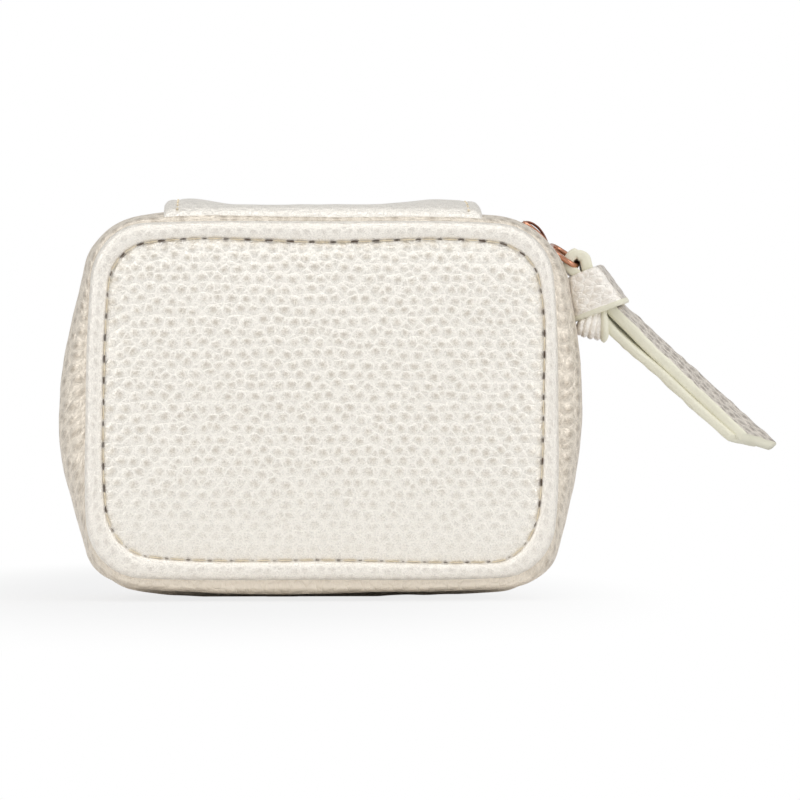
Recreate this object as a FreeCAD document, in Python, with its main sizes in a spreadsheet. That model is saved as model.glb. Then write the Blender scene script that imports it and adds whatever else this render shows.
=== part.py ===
"""Soft zip-around travel jewelry case: lid and base halves, live hinge, zip and knotted pull.

Millimetres. +X is to the right of the lid, +Y runs from the lid's face to the back, +Z is up.
The case stands on its opening edge, with the hinge on top and the zip plane across the depth.
"""
import FreeCAD, Part
import Sketcher
import math
import os
from collections import namedtuple

SIZES = {
    # Outline at the zip: the widest section of the case
    "zip_width": 115.0,
    "zip_height": 85.5,
    "zip_side_bow": 6.0,
    "zip_end_bow": 1.5,
    "zip_corner": 14.0,
    # Outline part way down the sides, drawn in from the zip
    "belly_draw_width": 4.4,
    "belly_draw_height": 2.7,
    "belly_side_bow": 4.2,
    "belly_end_bow": 1.3,
    "belly_corner": 13.5,
    "belly_lift": 0.3,
    # Outline at the rim of each face panel, drawn in further
    "rim_draw_width": 13.8,
    "rim_draw_height": 8.5,
    "rim_side_bow": 0.9,
    "rim_end_bow": 0.8,
    "rim_corner": 12.5,
    "rim_lift": 1.0,
    # Depths measured from the zip plane
    "lid_depth": 20.0,
    "base_depth": 30.0,
    "zip_band": 6.0,
    "lid_belly_depth": 11.0,
    "base_belly_depth": 16.6,
    "hem": 3.2,
    # The bottom is pressed flat where the case stands
    "foot_press": 0.5,
    # Plies
    "skin": 1.2,
    "wall_board": 1.2,
    "panel_board": 1.5,
    "lining": 0.8,
    "ply_gap": 0.05,
    "welt_dia": 5.0,
    "welt_skin": 1.0,
    "board_gap": 0.1,
    # Padded face panels
    "panel_edge_drop": 0.6,
    "panel_crown": 1.6,
    "shoulder_rise": 1.0,
    "shoulder_share": 0.105,
    "crown_share": 0.33,
    # Zip
    "tape": 0.6,
    "tape_reach": 5.9,
    "tooth_pitch": 2.2,
    "tooth_width": 1.0,
    "tooth_length": 1.25,
    "tooth_height": 1.4,
    "row_gap": 0.5,
    "zip_end_x": 34.0,
    "stop_length": 2.4,
    "stop_height": 2.6,
    # Slider
    "slider_turn": 41.0,
    "slider_angle": 38.0,
    "slider_gap": 0.35,
    "slider_plate": 0.7,
    "slider_base_reach": 2.8,
    "slider_lid_reach": 1.9,
    "slider_post": 0.4,
    "bridge_length": 8.8,
    "bridge_height": 2.9,
    "bridge_bar": 0.7,
    "bridge_corner": 1.5,
    "bridge_width": 2.0,
    "bridge_sink": 1.0,
    # Pull ring
    "ring_wire": 1.2,
    "ring_length": 6.8,
    "ring_side_gap": 0.2,
    "ring_corner": 1.3,
    "ring_angle": 33.0,
    "ring_eye_along": 2.87,
    "ring_eye_up": 1.45,
    # Leather pull
    "strap_width": 8.5,
    "strap": 2.5,
    "strap_length": 59.0,
    "strap_angle": 45.0,
    "strap_slack": 0.15,
    "tail_gap": 0.4,
    "tail_spread": 1.6,
    "tip_slant": 3.0,
    "knot_start": 3.6,
    "knot_length": 9.2,
    "knot_band": 2.2,
    "knot_round": 1.6,
    "fold_length": 6.0,
    "fold_depth": 4.2,
    "fold_width": 7.0,
    "fold_round": 1.2,
    # Hinge panel on top
    "hinge_width": 71.0,
    "hinge_skin": 1.5,
    "hinge_edge": 1.0,
    "hinge_lining_width": 66.0,
    "hinge_lining_reach": 8.0,
    # Fittings inside
    "roll_count": 5.0,
    "roll_dia": 12.4,
    "roll_pitch": 13.0,
    "roll_start_x": -4.0,
    "roll_end_x": 41.0,
    "roll_end_round": 3.0,
    "divider_x": -9.0,
    "divider": 2.0,
    "divider_half_height": 33.5,
    "divider_depth": 15.0,
    "pocket_width": 78.0,
    "pocket_height": 40.0,
    "pocket_bottom": 12.0,
    "pocket_depth": 6.4,
    "pocket_skin": 0.8,
    "elastic_height": 6.0,
    "elastic": 1.2,
}

Outline = namedtuple("Outline", "width height side_bow end_bow corner lift")

doc = FreeCAD.newDocument("JewelryCase")
sheet = doc.addObject("Spreadsheet::Sheet", "Sizes")


class Size:
    """A length or angle kept both as a number and as the expression that binds it to the sheet."""

    def __init__(self, value, text):
        self.value = value
        self.text = text

    def __add__(self, other):
        return Size(self.value + number(other), f"({self.text} + {words(other)})")

    def __sub__(self, other):
        return Size(self.value - number(other), f"({self.text} - {words(other)})")

    def __rsub__(self, other):
        return Size(number(other) - self.value, f"({words(other)} - {self.text})")

    def __mul__(self, other):
        return Size(self.value * number(other), f"({self.text} * {words(other)})")

    def __truediv__(self, other):
        return Size(self.value / number(other), f"({self.text} / {words(other)})")

    def __neg__(self):
        return Size(-self.value, f"(-1 * {self.text})")

    def cosine(self):
        return Size(math.cos(math.radians(self.value)), f"cos({self.text} * 1 deg)")

    def sine(self):
        return Size(math.sin(math.radians(self.value)), f"sin({self.text} * 1 deg)")


def number(item):
    return item.value if isinstance(item, Size) else item


def words(item):
    return item.text if isinstance(item, Size) else repr(item)


def fill_sheet():
    """Write every driving size into the sheet and return the sizes by name."""
    sizes = {}
    for row, (name, value) in enumerate(SIZES.items(), start=1):
        sheet.set(f"A{row}", name)
        sheet.set(f"B{row}", str(value))
        sheet.setAlias(f"B{row}", name)
        sizes[name] = Size(value, f"Sizes.{name}")
    doc.recompute()
    return sizes


dim = fill_sheet()
ZERO = Size(0.0, "0")

# Places worked out from the driving sizes
mid_z = dim["zip_height"] / 2 - dim["foot_press"]
top_z = dim["zip_height"] - dim["foot_press"]
zip_y = (dim["lid_depth"] - dim["base_depth"]) / 2
tape_out = dim["skin"] + dim["ply_gap"]
tape_in = tape_out + dim["tape"]
tooth_inset = tape_out + dim["tape"] / 2
board_out = dim["skin"] + dim["ply_gap"]
board_in = board_out + dim["wall_board"]
lining_out = board_in + dim["ply_gap"]
lining_in = lining_out + dim["lining"]
tooth_inner = dim["row_gap"] / 2
tooth_outer = tooth_inner + dim["tooth_length"]

ZIP = Outline(dim["zip_width"], dim["zip_height"], dim["zip_side_bow"], dim["zip_end_bow"],
              dim["zip_corner"], ZERO)
BELLY = Outline(dim["zip_width"] - dim["belly_draw_width"], dim["zip_height"] - dim["belly_draw_height"],
                dim["belly_side_bow"], dim["belly_end_bow"], dim["belly_corner"], dim["belly_lift"])
RIM = Outline(dim["zip_width"] - dim["rim_draw_width"], dim["zip_height"] - dim["rim_draw_height"],
              dim["rim_side_bow"], dim["rim_end_bow"], dim["rim_corner"], dim["rim_lift"])


def inset_outline(outline, inset):
    """The same outline drawn in by an inset, with its own corner kept round."""
    return outline._replace(width=outline.width - inset * 2, height=outline.height - inset * 2,
                            corner=outline.corner - inset)


def narrowed(outline, share):
    """A smaller outline with the same corners, drawn in all round by a share of its height."""
    draw = outline.height * share * 2
    return outline._replace(width=outline.width - draw, height=outline.height - draw)


def outline_arcs(outline, inset):
    """Centres and radii of the eight tangent arcs of an outline, drawn in by an inset."""
    corner_x = outline.width / 2 - outline.side_bow - outline.corner
    corner_z = outline.height / 2 - outline.end_bow - outline.corner
    side_reach = outline.corner + outline.side_bow
    end_reach = outline.corner + outline.end_bow
    corner_square = outline.corner * outline.corner
    side_radius = (side_reach * side_reach + corner_z * corner_z - corner_square) / (outline.side_bow * 2)
    end_radius = (end_reach * end_reach + corner_x * corner_x - corner_square) / (outline.end_bow * 2)
    side_turn = math.atan2(corner_z.value, corner_x.value - outline.width.value / 2 + side_radius.value)
    end_turn = math.atan2(corner_z.value - outline.height.value / 2 + end_radius.value, corner_x.value)
    return {
        "corner_x": corner_x,
        "corner_z": corner_z,
        "middle": mid_z + outline.lift,
        "corner": outline.corner - inset,
        "side": side_radius - inset,
        "end": end_radius - inset,
        "side_turn": side_turn,
        "end_turn": end_turn,
        "side_centre": outline.width.value / 2 - side_radius.value,
        "end_centre": outline.height.value / 2 - end_radius.value,
    }


def arc_list(outline, inset):
    """The eight arcs as (centre x, centre z, radius, start, end), anticlockwise from the right side."""
    arcs = outline_arcs(outline, inset)
    middle = arcs["middle"].value
    side, end = arcs["side_turn"], arcs["end_turn"]
    corner_x, corner_z = arcs["corner_x"].value, arcs["corner_z"].value
    corner, side_radius, end_radius = arcs["corner"].value, arcs["side"].value, arcs["end"].value
    side_x, end_z = arcs["side_centre"], arcs["end_centre"]
    return [
        (side_x, middle, side_radius, -side, side),
        (corner_x, middle + corner_z, corner, side, end),
        (0.0, middle + end_z, end_radius, end, math.pi - end),
        (-corner_x, middle + corner_z, corner, math.pi - end, math.pi - side),
        (-side_x, middle, side_radius, math.pi - side, math.pi + side),
        (-corner_x, middle - corner_z, corner, math.pi + side, math.pi + end),
        (0.0, middle - end_z, end_radius, math.pi + end, 2 * math.pi - end),
        (corner_x, middle - corner_z, corner, 2 * math.pi - end, 2 * math.pi - side),
    ]


def bind(item, path, size):
    item.setExpression(path, size.text)


def new_body(label):
    body = doc.addObject("PartDesign::Body", label)
    body.Label = label
    bind(body, ".Placement.Base.y", zip_y)
    return body


def origin_plane(body, role):
    return next(item for item in body.Origin.OriginFeatures if item.Role == role)


def new_sketch(body, name, role, offset=ZERO):
    sketch = body.newObject("Sketcher::SketchObject", f"{body.Label}_{name}")
    sketch.AttachmentSupport = (origin_plane(body, role), [""])
    sketch.MapMode = "FlatFace"
    bind(sketch, ".AttachmentOffset.Base.z", offset)
    return sketch


def constrain(sketch, size, kind, *target):
    """Add one dimension to a sketch and bind it to its size."""
    index = sketch.addConstraint(Sketcher.Constraint(kind, *target, size.value))
    bind(sketch, f"Constraints[{index}]", size)


def place_along(sketch, kind, geometry, point, size):
    """Dimension one point from the sketch's origin along one axis."""
    if size.value >= 0:
        constrain(sketch, size, kind, -1, 1, geometry, point)
    else:
        constrain(sketch, -size, kind, geometry, point, -1, 1)


def place(sketch, geometry, point, x, y):
    """Dimension one point from the sketch's origin."""
    place_along(sketch, "DistanceX", geometry, point, x)
    place_along(sketch, "DistanceY", geometry, point, y)


def draw_outline(sketch, outline, inset):
    """Draw an outline's eight arcs, tangent end to end, with bound centres and radii."""
    arcs = outline_arcs(outline, inset)
    first = sketch.GeometryCount
    for x, z, radius, start, end in arc_list(outline, inset):
        circle = Part.Circle(FreeCAD.Vector(x, z, 0), FreeCAD.Vector(0, 0, 1), radius)
        sketch.addGeometry(Part.ArcOfCircle(circle, start, end))
    for step in range(8):
        sketch.addConstraint(Sketcher.Constraint("Tangent", first + step, 2, first + (step + 1) % 8, 1))
    for step, across, up in ((1, 1, 1), (3, -1, 1), (5, -1, -1), (7, 1, -1)):
        place(sketch, first + step, 3, arcs["corner_x"] * across, arcs["middle"] + arcs["corner_z"] * up)
        constrain(sketch, arcs["corner"], "Radius", first + step)
    for step, radius in ((0, "side"), (2, "end"), (4, "side"), (6, "end")):
        constrain(sketch, arcs[radius], "Radius", first + step)


def draw_polygon(sketch, points):
    """Draw a closed polygon whose corners are dimensioned from the sketch's origin."""
    first = sketch.GeometryCount
    count = len(points)
    for step in range(count):
        x, y = points[step]
        next_x, next_y = points[(step + 1) % count]
        sketch.addGeometry(Part.LineSegment(FreeCAD.Vector(x.value, y.value, 0),
                                            FreeCAD.Vector(next_x.value, next_y.value, 0)))
    for step in range(count):
        sketch.addConstraint(Sketcher.Constraint("Coincident", first + step, 2, first + (step + 1) % count, 1))
    for step, (x, y) in enumerate(points):
        place(sketch, first + step, 1, x, y)


def draw_rectangle(sketch, low_x, low_y, high_x, high_y):
    draw_polygon(sketch, [(low_x, low_y), (high_x, low_y), (high_x, high_y), (low_x, high_y)])


def draw_circle(sketch, x, y, radius):
    circle = Part.Circle(FreeCAD.Vector(x.value, y.value, 0), FreeCAD.Vector(0, 0, 1), radius.value)
    index = sketch.addGeometry(circle)
    place(sketch, index, 3, x, y)
    constrain(sketch, radius, "Radius", index)


def outline_sketch(body, name, outline, depth, *insets):
    """A sketch across the depth with the outline at each inset; depth is positive towards the lid."""
    sketch = new_sketch(body, name, "XZ_Plane", depth)
    for inset in insets:
        draw_outline(sketch, outline, inset)
    return sketch


def add_loft(body, name, sketches, cut=False):
    kind = "PartDesign::SubtractiveLoft" if cut else "PartDesign::AdditiveLoft"
    loft = body.newObject(kind, f"{body.Label}_{name}")
    loft.Profile = sketches[0]
    loft.Sections = sketches[1:]
    doc.recompute()
    return loft


def add_pad(body, name, sketch, length, towards=1, midplane=False):
    """Pad along the sketch's normal, or against it."""
    pad = body.newObject("PartDesign::Pad", f"{body.Label}_{name}")
    pad.Profile = sketch
    bind(pad, "Length", length)
    pad.Reversed = towards < 0
    pad.Midplane = midplane
    doc.recompute()
    return pad


def add_pocket(body, name, sketch, length, towards=1, midplane=False):
    """Cut along the sketch's normal, or against it, and make sure that material went."""
    before = body.Shape.Volume
    pocket = body.newObject("PartDesign::Pocket", f"{body.Label}_{name}")
    pocket.Profile = sketch
    bind(pocket, "Length", length)
    pocket.Reversed = towards > 0
    pocket.Midplane = midplane
    doc.recompute()
    if body.Shape.Volume >= before:
        raise ValueError(f"{pocket.Name} cut nothing")
    return pocket


def add_fillet(body, name, feature, edges, radius):
    fillet = body.newObject("PartDesign::Fillet", f"{body.Label}_{name}")
    fillet.Base = (feature, edges)
    bind(fillet, "Radius", radius)
    doc.recompute()
    return fillet


Half = namedtuple("Half", "name side depth belly_depth")
LID = Half("lid", 1, dim["lid_depth"], dim["lid_belly_depth"])
BASE = Half("base", -1, dim["base_depth"], dim["base_belly_depth"])


def seam_depth(half):
    """Depth at which the side wall ends, under the welt."""
    return half.depth - dim["welt_dia"] - dim["ply_gap"]


def floor_depth(half):
    """Depth of the lining floor's inner face."""
    return seam_depth(half) - dim["panel_board"] - dim["ply_gap"] - dim["lining"]


def wall_sections(body, half, name, inset):
    stations = ((ZIP, dim["zip_band"]), (BELLY, half.belly_depth), (RIM, seam_depth(half)))
    return [outline_sketch(body, f"{half.name}_{name}_{step}", outline, depth * half.side, inset)
            for step, (outline, depth) in enumerate(stations)]


def side_wall(label, half, inset_out, inset_in, start):
    """A shell that follows the side of the case between two insets, from a start depth to the seam."""
    body = new_body(label)
    outer = wall_sections(body, half, "outer", inset_out)
    add_loft(body, "swell", outer)
    band = dim["zip_band"] - start
    if band.value > 0:
        add_pad(body, "band", outer[0], band, -half.side)
    inner = wall_sections(body, half, "inner", inset_in)
    add_loft(body, "hollow", inner, cut=True)
    if band.value > 0:
        add_pocket(body, "band_hollow", inner[0], band, -half.side)
    return body


def gusset(half):
    body = side_wall(f"{half.name}_gusset", half, ZERO, dim["skin"], dim["hem"])
    foot = new_sketch(body, "foot", "XY_Plane")
    reach = dim["zip_width"] / 2
    draw_rectangle(foot, -reach, -half.depth, reach, half.depth)
    add_pocket(body, "foot_press", foot, mid_z, -1)


def face_panel(half):
    """Board, padding and leather of a face, with a soft crown inside the welt."""
    face = inset_outline(RIM, dim["welt_dia"] + dim["ply_gap"])
    shoulder = narrowed(face, dim["shoulder_share"])
    crown = narrowed(face, dim["crown_share"])
    edge = half.depth - dim["panel_edge_drop"]

    def crown_sections(body, name, drop):
        stations = ((face, edge), (shoulder, edge + dim["shoulder_rise"]), (crown, edge + dim["panel_crown"]))
        return [outline_sketch(body, f"{name}_{step}", outline, (depth - drop) * half.side, ZERO)
                for step, (outline, depth) in enumerate(stations)]

    leather = new_body(f"{half.name}_panel_leather")
    outer = crown_sections(leather, "outer", ZERO)
    add_pad(leather, "edge", outer[0], dim["skin"], -half.side)
    add_loft(leather, "crown", outer)
    add_loft(leather, "under", crown_sections(leather, "inner", dim["skin"]), cut=True)

    foam_drop = dim["skin"] + dim["ply_gap"]
    foam = new_body(f"{half.name}_panel_foam")
    top = crown_sections(foam, "top", foam_drop)
    add_pad(foam, "block", top[0], edge - foam_drop - half.depth + dim["welt_dia"], -half.side)
    add_loft(foam, "crown", top)

    board = new_body(f"{half.name}_panel_board")
    plate = outline_sketch(board, "plate", RIM, seam_depth(half) * half.side,
                           lining_in + dim["board_gap"])
    add_pad(board, "plate_pad", plate, dim["panel_board"], -half.side)

    floor = new_body(f"{half.name}_lining_floor")
    sheet_top = outline_sketch(floor, "sheet", RIM, floor_depth(half) * half.side, lining_in)
    add_pad(floor, "sheet_pad", sheet_top, dim["lining"], half.side)


def add_pipe(body, name, profile, path, cut=False):
    kind = "PartDesign::SubtractivePipe" if cut else "PartDesign::AdditivePipe"
    pipe = body.newObject(kind, f"{body.Label}_{name}")
    pipe.Profile = profile
    pipe.Spine = path
    doc.recompute()
    return pipe


def welt(half):
    """The rolled leather rim and the cord inside it."""
    radius = dim["welt_dia"] / 2
    bore = radius - dim["welt_skin"]
    depth = (half.depth - radius) * half.side

    def swept_circle(body, name, path, circle_radius, cut=False):
        profile = new_sketch(body, f"{name}_profile", "XY_Plane", mid_z + RIM.lift)
        draw_circle(profile, RIM.width / 2 - radius, -depth, circle_radius)
        add_pipe(body, name, profile, path, cut)

    roll = new_body(f"{half.name}_welt")
    path = outline_sketch(roll, "path", RIM, depth, radius)
    swept_circle(roll, "roll", path, radius)
    swept_circle(roll, "bore", path, bore, cut=True)
    cord = new_body(f"{half.name}_welt_cord")
    swept_circle(cord, "cord", outline_sketch(cord, "path", RIM, depth, radius), bore - dim["ply_gap"])


def zip_tape(half):
    """A woven tape strip under the hem, open where the hinge panel crosses it."""
    body = new_body(f"{half.name}_zip_tape")
    strip = outline_sketch(body, "strip", ZIP, tooth_outer * half.side, tape_out, tape_in)
    add_pad(body, "weave", strip, dim["tape_reach"] - tooth_outer, half.side)
    gap = new_sketch(body, "gap", "XZ_Plane")
    draw_rectangle(gap, -dim["zip_end_x"], mid_z, dim["zip_end_x"], dim["zip_height"])
    add_pocket(body, "hinge_gap", gap, dim["tape_reach"] * 4, midplane=True)


def zip_path():
    """The arcs that the teeth follow, anticlockwise from the left end on top to the right end."""
    arcs = arc_list(ZIP, tooth_inset)
    x, z, radius, start, end = arcs[2]
    right_end = math.acos(dim["zip_end_x"].value / radius)
    first = (x, z, radius, math.pi - right_end, end)
    last = (x, z, radius, start, right_end)
    return [first, *arcs[3:], arcs[0], arcs[1], last]


def along_zip(distance):
    """Point and outward angle on the zip path at a distance from its left end."""
    for x, z, radius, start, end in zip_path():
        span = radius * (end - start)
        if distance <= span:
            break
        distance -= span
    angle = start + distance / radius
    return x + radius * math.cos(angle), z + radius * math.sin(angle), angle


def zip_block(half, distance, length, height):
    """A block on the tape's edge, its length along the zip."""
    low = -tooth_outer.value if half.side > 0 else tooth_inner.value
    block = Part.makeBox(length, dim["tooth_length"].value, height,
                         FreeCAD.Vector(-length / 2, low, -height / 2))
    x, z, angle = along_zip(distance)
    turn = FreeCAD.Rotation(FreeCAD.Vector(0, 1, 0), 90 - math.degrees(angle))
    block.Placement = FreeCAD.Placement(FreeCAD.Vector(x, 0, z), turn)
    return block


def shape_feature(label, shape):
    feature = doc.addObject("Part::Feature", label)
    feature.Label = label
    feature.Shape = shape
    bind(feature, ".Placement.Base.y", zip_y)
    return feature


def zip_teeth(half):
    """A row of separate teeth, the two rows half a pitch apart, and the stop at the closed end."""
    pitch = dim["tooth_pitch"].value
    whole = sum(radius * (end - start) for _, _, radius, start, end in zip_path())
    stop_at = whole - dim["stop_length"].value / 2
    first = pitch / 2 if half.side > 0 else pitch
    count = int((whole - dim["stop_length"].value - first) / pitch)
    teeth = [zip_block(half, first + step * pitch, dim["tooth_width"].value, dim["tooth_height"].value)
             for step in range(count)]
    shape_feature(f"{half.name}_zip_teeth", Part.makeCompound(teeth))
    stop = zip_block(half, stop_at, dim["stop_length"].value, dim["stop_height"].value)
    shape_feature(f"{half.name}_zip_stop", stop)


def turned_body(label, x, z, angle):
    """A body whose own X axis is turned down from +X by an angle about the depth axis."""
    body = new_body(label)
    turn = FreeCAD.Rotation(FreeCAD.Vector(0, 1, 0), angle.value)
    body.Placement = FreeCAD.Placement(FreeCAD.Vector(x.value, zip_y.value, z.value), turn)
    bind(body, ".Placement.Base.x", x)
    bind(body, ".Placement.Base.z", z)
    bind(body, ".Placement.Rotation.Angle", angle)
    return body


def draw_profile(sketch, corners, rounds):
    """Draw a closed profile; rounds gives the radius and centre of each side that is an arc."""
    first = sketch.GeometryCount
    count = len(corners)
    ends = []
    for step in range(count):
        start = FreeCAD.Vector(corners[step][0].value, corners[step][1].value, 0)
        end_x, end_y = corners[(step + 1) % count]
        end = FreeCAD.Vector(end_x.value, end_y.value, 0)
        if step not in rounds:
            sketch.addGeometry(Part.LineSegment(start, end))
            ends.append((1, 2))
            continue
        radius, centre_x, centre_y, clockwise = rounds[step]
        centre = FreeCAD.Vector(centre_x.value, centre_y.value, 0)
        low, high = (end, start) if clockwise else (start, end)
        angles = [math.atan2(point.y - centre.y, point.x - centre.x) for point in (low, high)]
        circle = Part.Circle(centre, FreeCAD.Vector(0, 0, 1), radius.value)
        sketch.addGeometry(Part.ArcOfCircle(circle, *angles))
        ends.append((2, 1) if clockwise else (1, 2))
    for step in range(count):
        after = (step + 1) % count
        sketch.addConstraint(Sketcher.Constraint("Coincident", first + step, ends[step][1],
                                                 first + after, ends[after][0]))
    for step, (x, y) in enumerate(corners):
        place(sketch, first + step, ends[step][0], x, y)
    for step, (_, centre_x, _, _) in rounds.items():
        place_along(sketch, "DistanceX", first + step, 3, centre_x)


# Slider, ring and pull hang from the corner arc of the zip at the upper right
zip_arcs = outline_arcs(ZIP, ZERO)
corner_x = zip_arcs["corner_x"]
corner_z = zip_arcs["middle"] + zip_arcs["corner_z"]
tooth_radius = dim["zip_corner"] - tooth_inset
plate_in = tooth_radius + dim["tooth_height"] / 2 + dim["slider_gap"]
plate_out = plate_in + dim["slider_plate"]
under_in = tooth_radius * 2 - plate_in
under_out = under_in - dim["slider_plate"]


def zip_slider():
    """Two curved plates joined by a thin post between the rows, with an arched bridge on top."""
    body = turned_body("zip_slider", corner_x, corner_z, -dim["slider_turn"])
    section = new_sketch(body, "section", "XY_Plane")
    post = dim["slider_post"] / 2
    low, high = -dim["slider_lid_reach"], dim["slider_base_reach"]
    draw_polygon(section, [
        (under_out, low), (under_in, low), (under_in, -post), (plate_in, -post), (plate_in, low),
        (plate_out, low), (plate_out, high), (plate_in, high), (plate_in, post), (under_in, post),
        (under_in, high), (under_out, high)])
    plates = body.newObject("PartDesign::Revolution", "zip_slider_plates")
    plates.Profile = section
    plates.ReferenceAxis = (origin_plane(body, "Y_Axis"), [""])
    plates.Midplane = True
    bind(plates, "Angle", dim["slider_angle"])
    doc.recompute()
    bar, corner = dim["bridge_bar"], dim["bridge_corner"]
    outer = dim["bridge_length"] / 2
    inner, turn_y = outer - bar, outer - corner
    leg = plate_out - dim["bridge_sink"]
    top = plate_out + dim["bridge_height"]
    turn_x = top - corner
    arch = new_sketch(body, "arch", "XZ_Plane")
    draw_profile(arch, [
        (leg, -outer), (turn_x, -outer), (top, -turn_y), (top, turn_y), (turn_x, outer), (leg, outer),
        (leg, inner), (turn_x, inner), (top - bar, turn_y), (top - bar, -turn_y), (turn_x, -inner), (leg, -inner)],
        {1: (corner, turn_x, -turn_y, False), 3: (corner, turn_x, turn_y, False),
         7: (corner - bar, turn_x, turn_y, True), 9: (corner - bar, turn_x, -turn_y, True)})
    add_pad(body, "bridge", arch, dim["bridge_width"], midplane=True)


# The ring turns in the bridge, and the pull turns on the ring's far bar
eye_radius = plate_out + dim["ring_eye_up"]
turn_cos, turn_sin = dim["slider_turn"].cosine(), dim["slider_turn"].sine()
eye_x = corner_x + eye_radius * turn_cos + dim["ring_eye_along"] * turn_sin
eye_z = corner_z + eye_radius * turn_sin - dim["ring_eye_along"] * turn_cos
bar_x = eye_x + dim["ring_length"] * dim["ring_angle"].cosine()
bar_z = eye_z - dim["ring_length"] * dim["ring_angle"].sine()


def pull_ring():
    """A rounded rectangular wire ring, one bar in the slider's bridge and one in the strap's loop."""
    body = turned_body("pull_ring", eye_x, eye_z, dim["ring_angle"])
    corner = dim["ring_corner"]
    flat = dim["strap_width"] / 2 + dim["ring_side_gap"]
    half_width = flat + corner
    length = dim["ring_length"]
    path = new_sketch(body, "path", "XY_Plane")
    draw_profile(path, [
        (ZERO, ZERO), (ZERO, -flat), (corner, -half_width), (length - corner, -half_width), (length, -flat),
        (length, flat), (length - corner, half_width), (corner, half_width), (ZERO, flat)],
        {1: (corner, corner, -flat, False), 3: (corner, length - corner, -flat, False),
         5: (corner, length - corner, flat, False), 7: (corner, corner, flat, False)})
    profile = new_sketch(body, "wire", "XZ_Plane")
    draw_circle(profile, ZERO, ZERO, dim["ring_wire"] / 2)
    add_pipe(body, "bend", profile, path)


eye_in = dim["ring_wire"] / 2 + dim["strap_slack"]
eye_out = eye_in + dim["strap"]
knot_end = dim["knot_start"] + dim["knot_length"]
tail_in = dim["tail_gap"] / 2
tail_out = tail_in + dim["strap"]


def pull_strap():
    """One leather strip folded over the ring's bar, its two tails cut on a slant."""
    body = turned_body("pull_strap", bar_x, bar_z, dim["strap_angle"])
    start, end, tip = dim["knot_start"], knot_end, dim["strap_length"]
    spread_in = tail_in + dim["tail_spread"] / 2
    spread_out = spread_in + dim["strap"]
    upper = [(ZERO, eye_in), (start, tail_in), (end, tail_in), (tip, spread_in),
             (tip, spread_out), (end, tail_out), (start, tail_out), (ZERO, eye_out)]
    lower = [(x, -z) for x, z in reversed(upper)]
    fold = new_sketch(body, "fold", "XZ_Plane")
    draw_profile(fold, upper + lower, {7: (eye_out, ZERO, ZERO, False), 15: (eye_in, ZERO, ZERO, True)})
    add_pad(body, "strip", fold, dim["strap_width"], midplane=True)
    half_width = dim["strap_width"] / 2
    slant = new_sketch(body, "slant", "XY_Plane")
    draw_polygon(slant, [(tip - dim["tip_slant"], half_width), (tip, -half_width),
                         (tip + dim["tip_slant"], -half_width), (tip + dim["tip_slant"], half_width)])
    add_pocket(body, "tips", slant, spread_out * 4, midplane=True)


def pull_knot():
    """The band wrapped round both tails, and the tucked fold below it."""
    body = turned_body("pull_knot_band", bar_x, bar_z, dim["strap_angle"])
    hole_y = dim["strap_width"] / 2 + dim["ply_gap"]
    hole_z = tail_out + dim["ply_gap"]
    wrap = dim["knot_band"]
    outer = new_sketch(body, "outer", "YZ_Plane", dim["knot_start"])
    draw_rectangle(outer, -hole_y - wrap, -hole_z - wrap, hole_y + wrap, hole_z + wrap)
    block = add_pad(body, "block", outer, dim["knot_length"])
    long_edges = [f"Edge{index}" for index, edge in enumerate(block.Shape.Edges, start=1)
                  if abs(edge.Length - dim["knot_length"].value) < dim["ply_gap"].value]
    add_fillet(body, "rounded", block, long_edges, dim["knot_round"])
    hole = new_sketch(body, "hole", "YZ_Plane", dim["knot_start"])
    draw_rectangle(hole, -hole_y, -hole_z, hole_y, hole_z)
    add_pocket(body, "way", hole, dim["knot_length"], 1)

    fold = turned_body("pull_knot_fold", bar_x, bar_z, dim["strap_angle"])
    start = knot_end + dim["ply_gap"]
    end = start + dim["fold_length"]
    high = -tail_out - dim["tail_spread"] / 2
    low = high - dim["fold_depth"]
    lobe = new_sketch(fold, "lobe", "XZ_Plane")
    draw_polygon(lobe, [(start, low), (end - dim["fold_round"], low), (end, high), (start, high)])
    wedge = add_pad(fold, "wedge", lobe, dim["fold_width"], midplane=True)
    across = [f"Edge{index}" for index, edge in enumerate(wedge.Shape.Edges, start=1)
              if abs(edge.Length - dim["fold_width"].value) < dim["ply_gap"].value]
    add_fillet(fold, "soft", wedge, across, dim["fold_round"])


def clipped(label, body, half_width, lid_reach, base_reach):
    """The upper part of a body that lies in a box across the hinge."""
    box = doc.addObject("Part::Box", f"{label}_box")
    bind(box, "Length", half_width * 2)
    bind(box, "Width", lid_reach + base_reach)
    bind(box, "Height", dim["zip_height"])
    bind(box, ".Placement.Base.x", -half_width)
    bind(box, ".Placement.Base.y", zip_y - lid_reach)
    bind(box, ".Placement.Base.z", mid_z)
    part = doc.addObject("Part::Common", label)
    part.Label = label
    part.Base = body
    part.Tool = box
    doc.recompute()
    return part


def hinge_panel():
    """The leather strip sewn across the top from rim to rim: the live hinge, seen from outside."""
    body = new_body("hinge_shell")
    for inset, name, cut in ((-dim["hinge_skin"], "outer", False), (-dim["ply_gap"], "inner", True)):
        lid_wall = wall_sections(body, LID, name, inset)
        base_wall = wall_sections(body, BASE, name, inset)
        if cut:
            add_loft(body, "lid_under", lid_wall, cut=True)
            add_loft(body, "base_under", base_wall, cut=True)
            add_pocket(body, "band_under", lid_wall[0], dim["zip_band"] * 2, -1)
        else:
            add_loft(body, "lid_side", lid_wall)
            add_pad(body, "band", lid_wall[0], dim["zip_band"] * 2, -1)
            add_loft(body, "base_side", base_wall)
    clipped("hinge_panel", body, dim["hinge_width"] / 2,
            seam_depth(LID) - dim["hinge_edge"], seam_depth(BASE) - dim["hinge_edge"])


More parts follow.
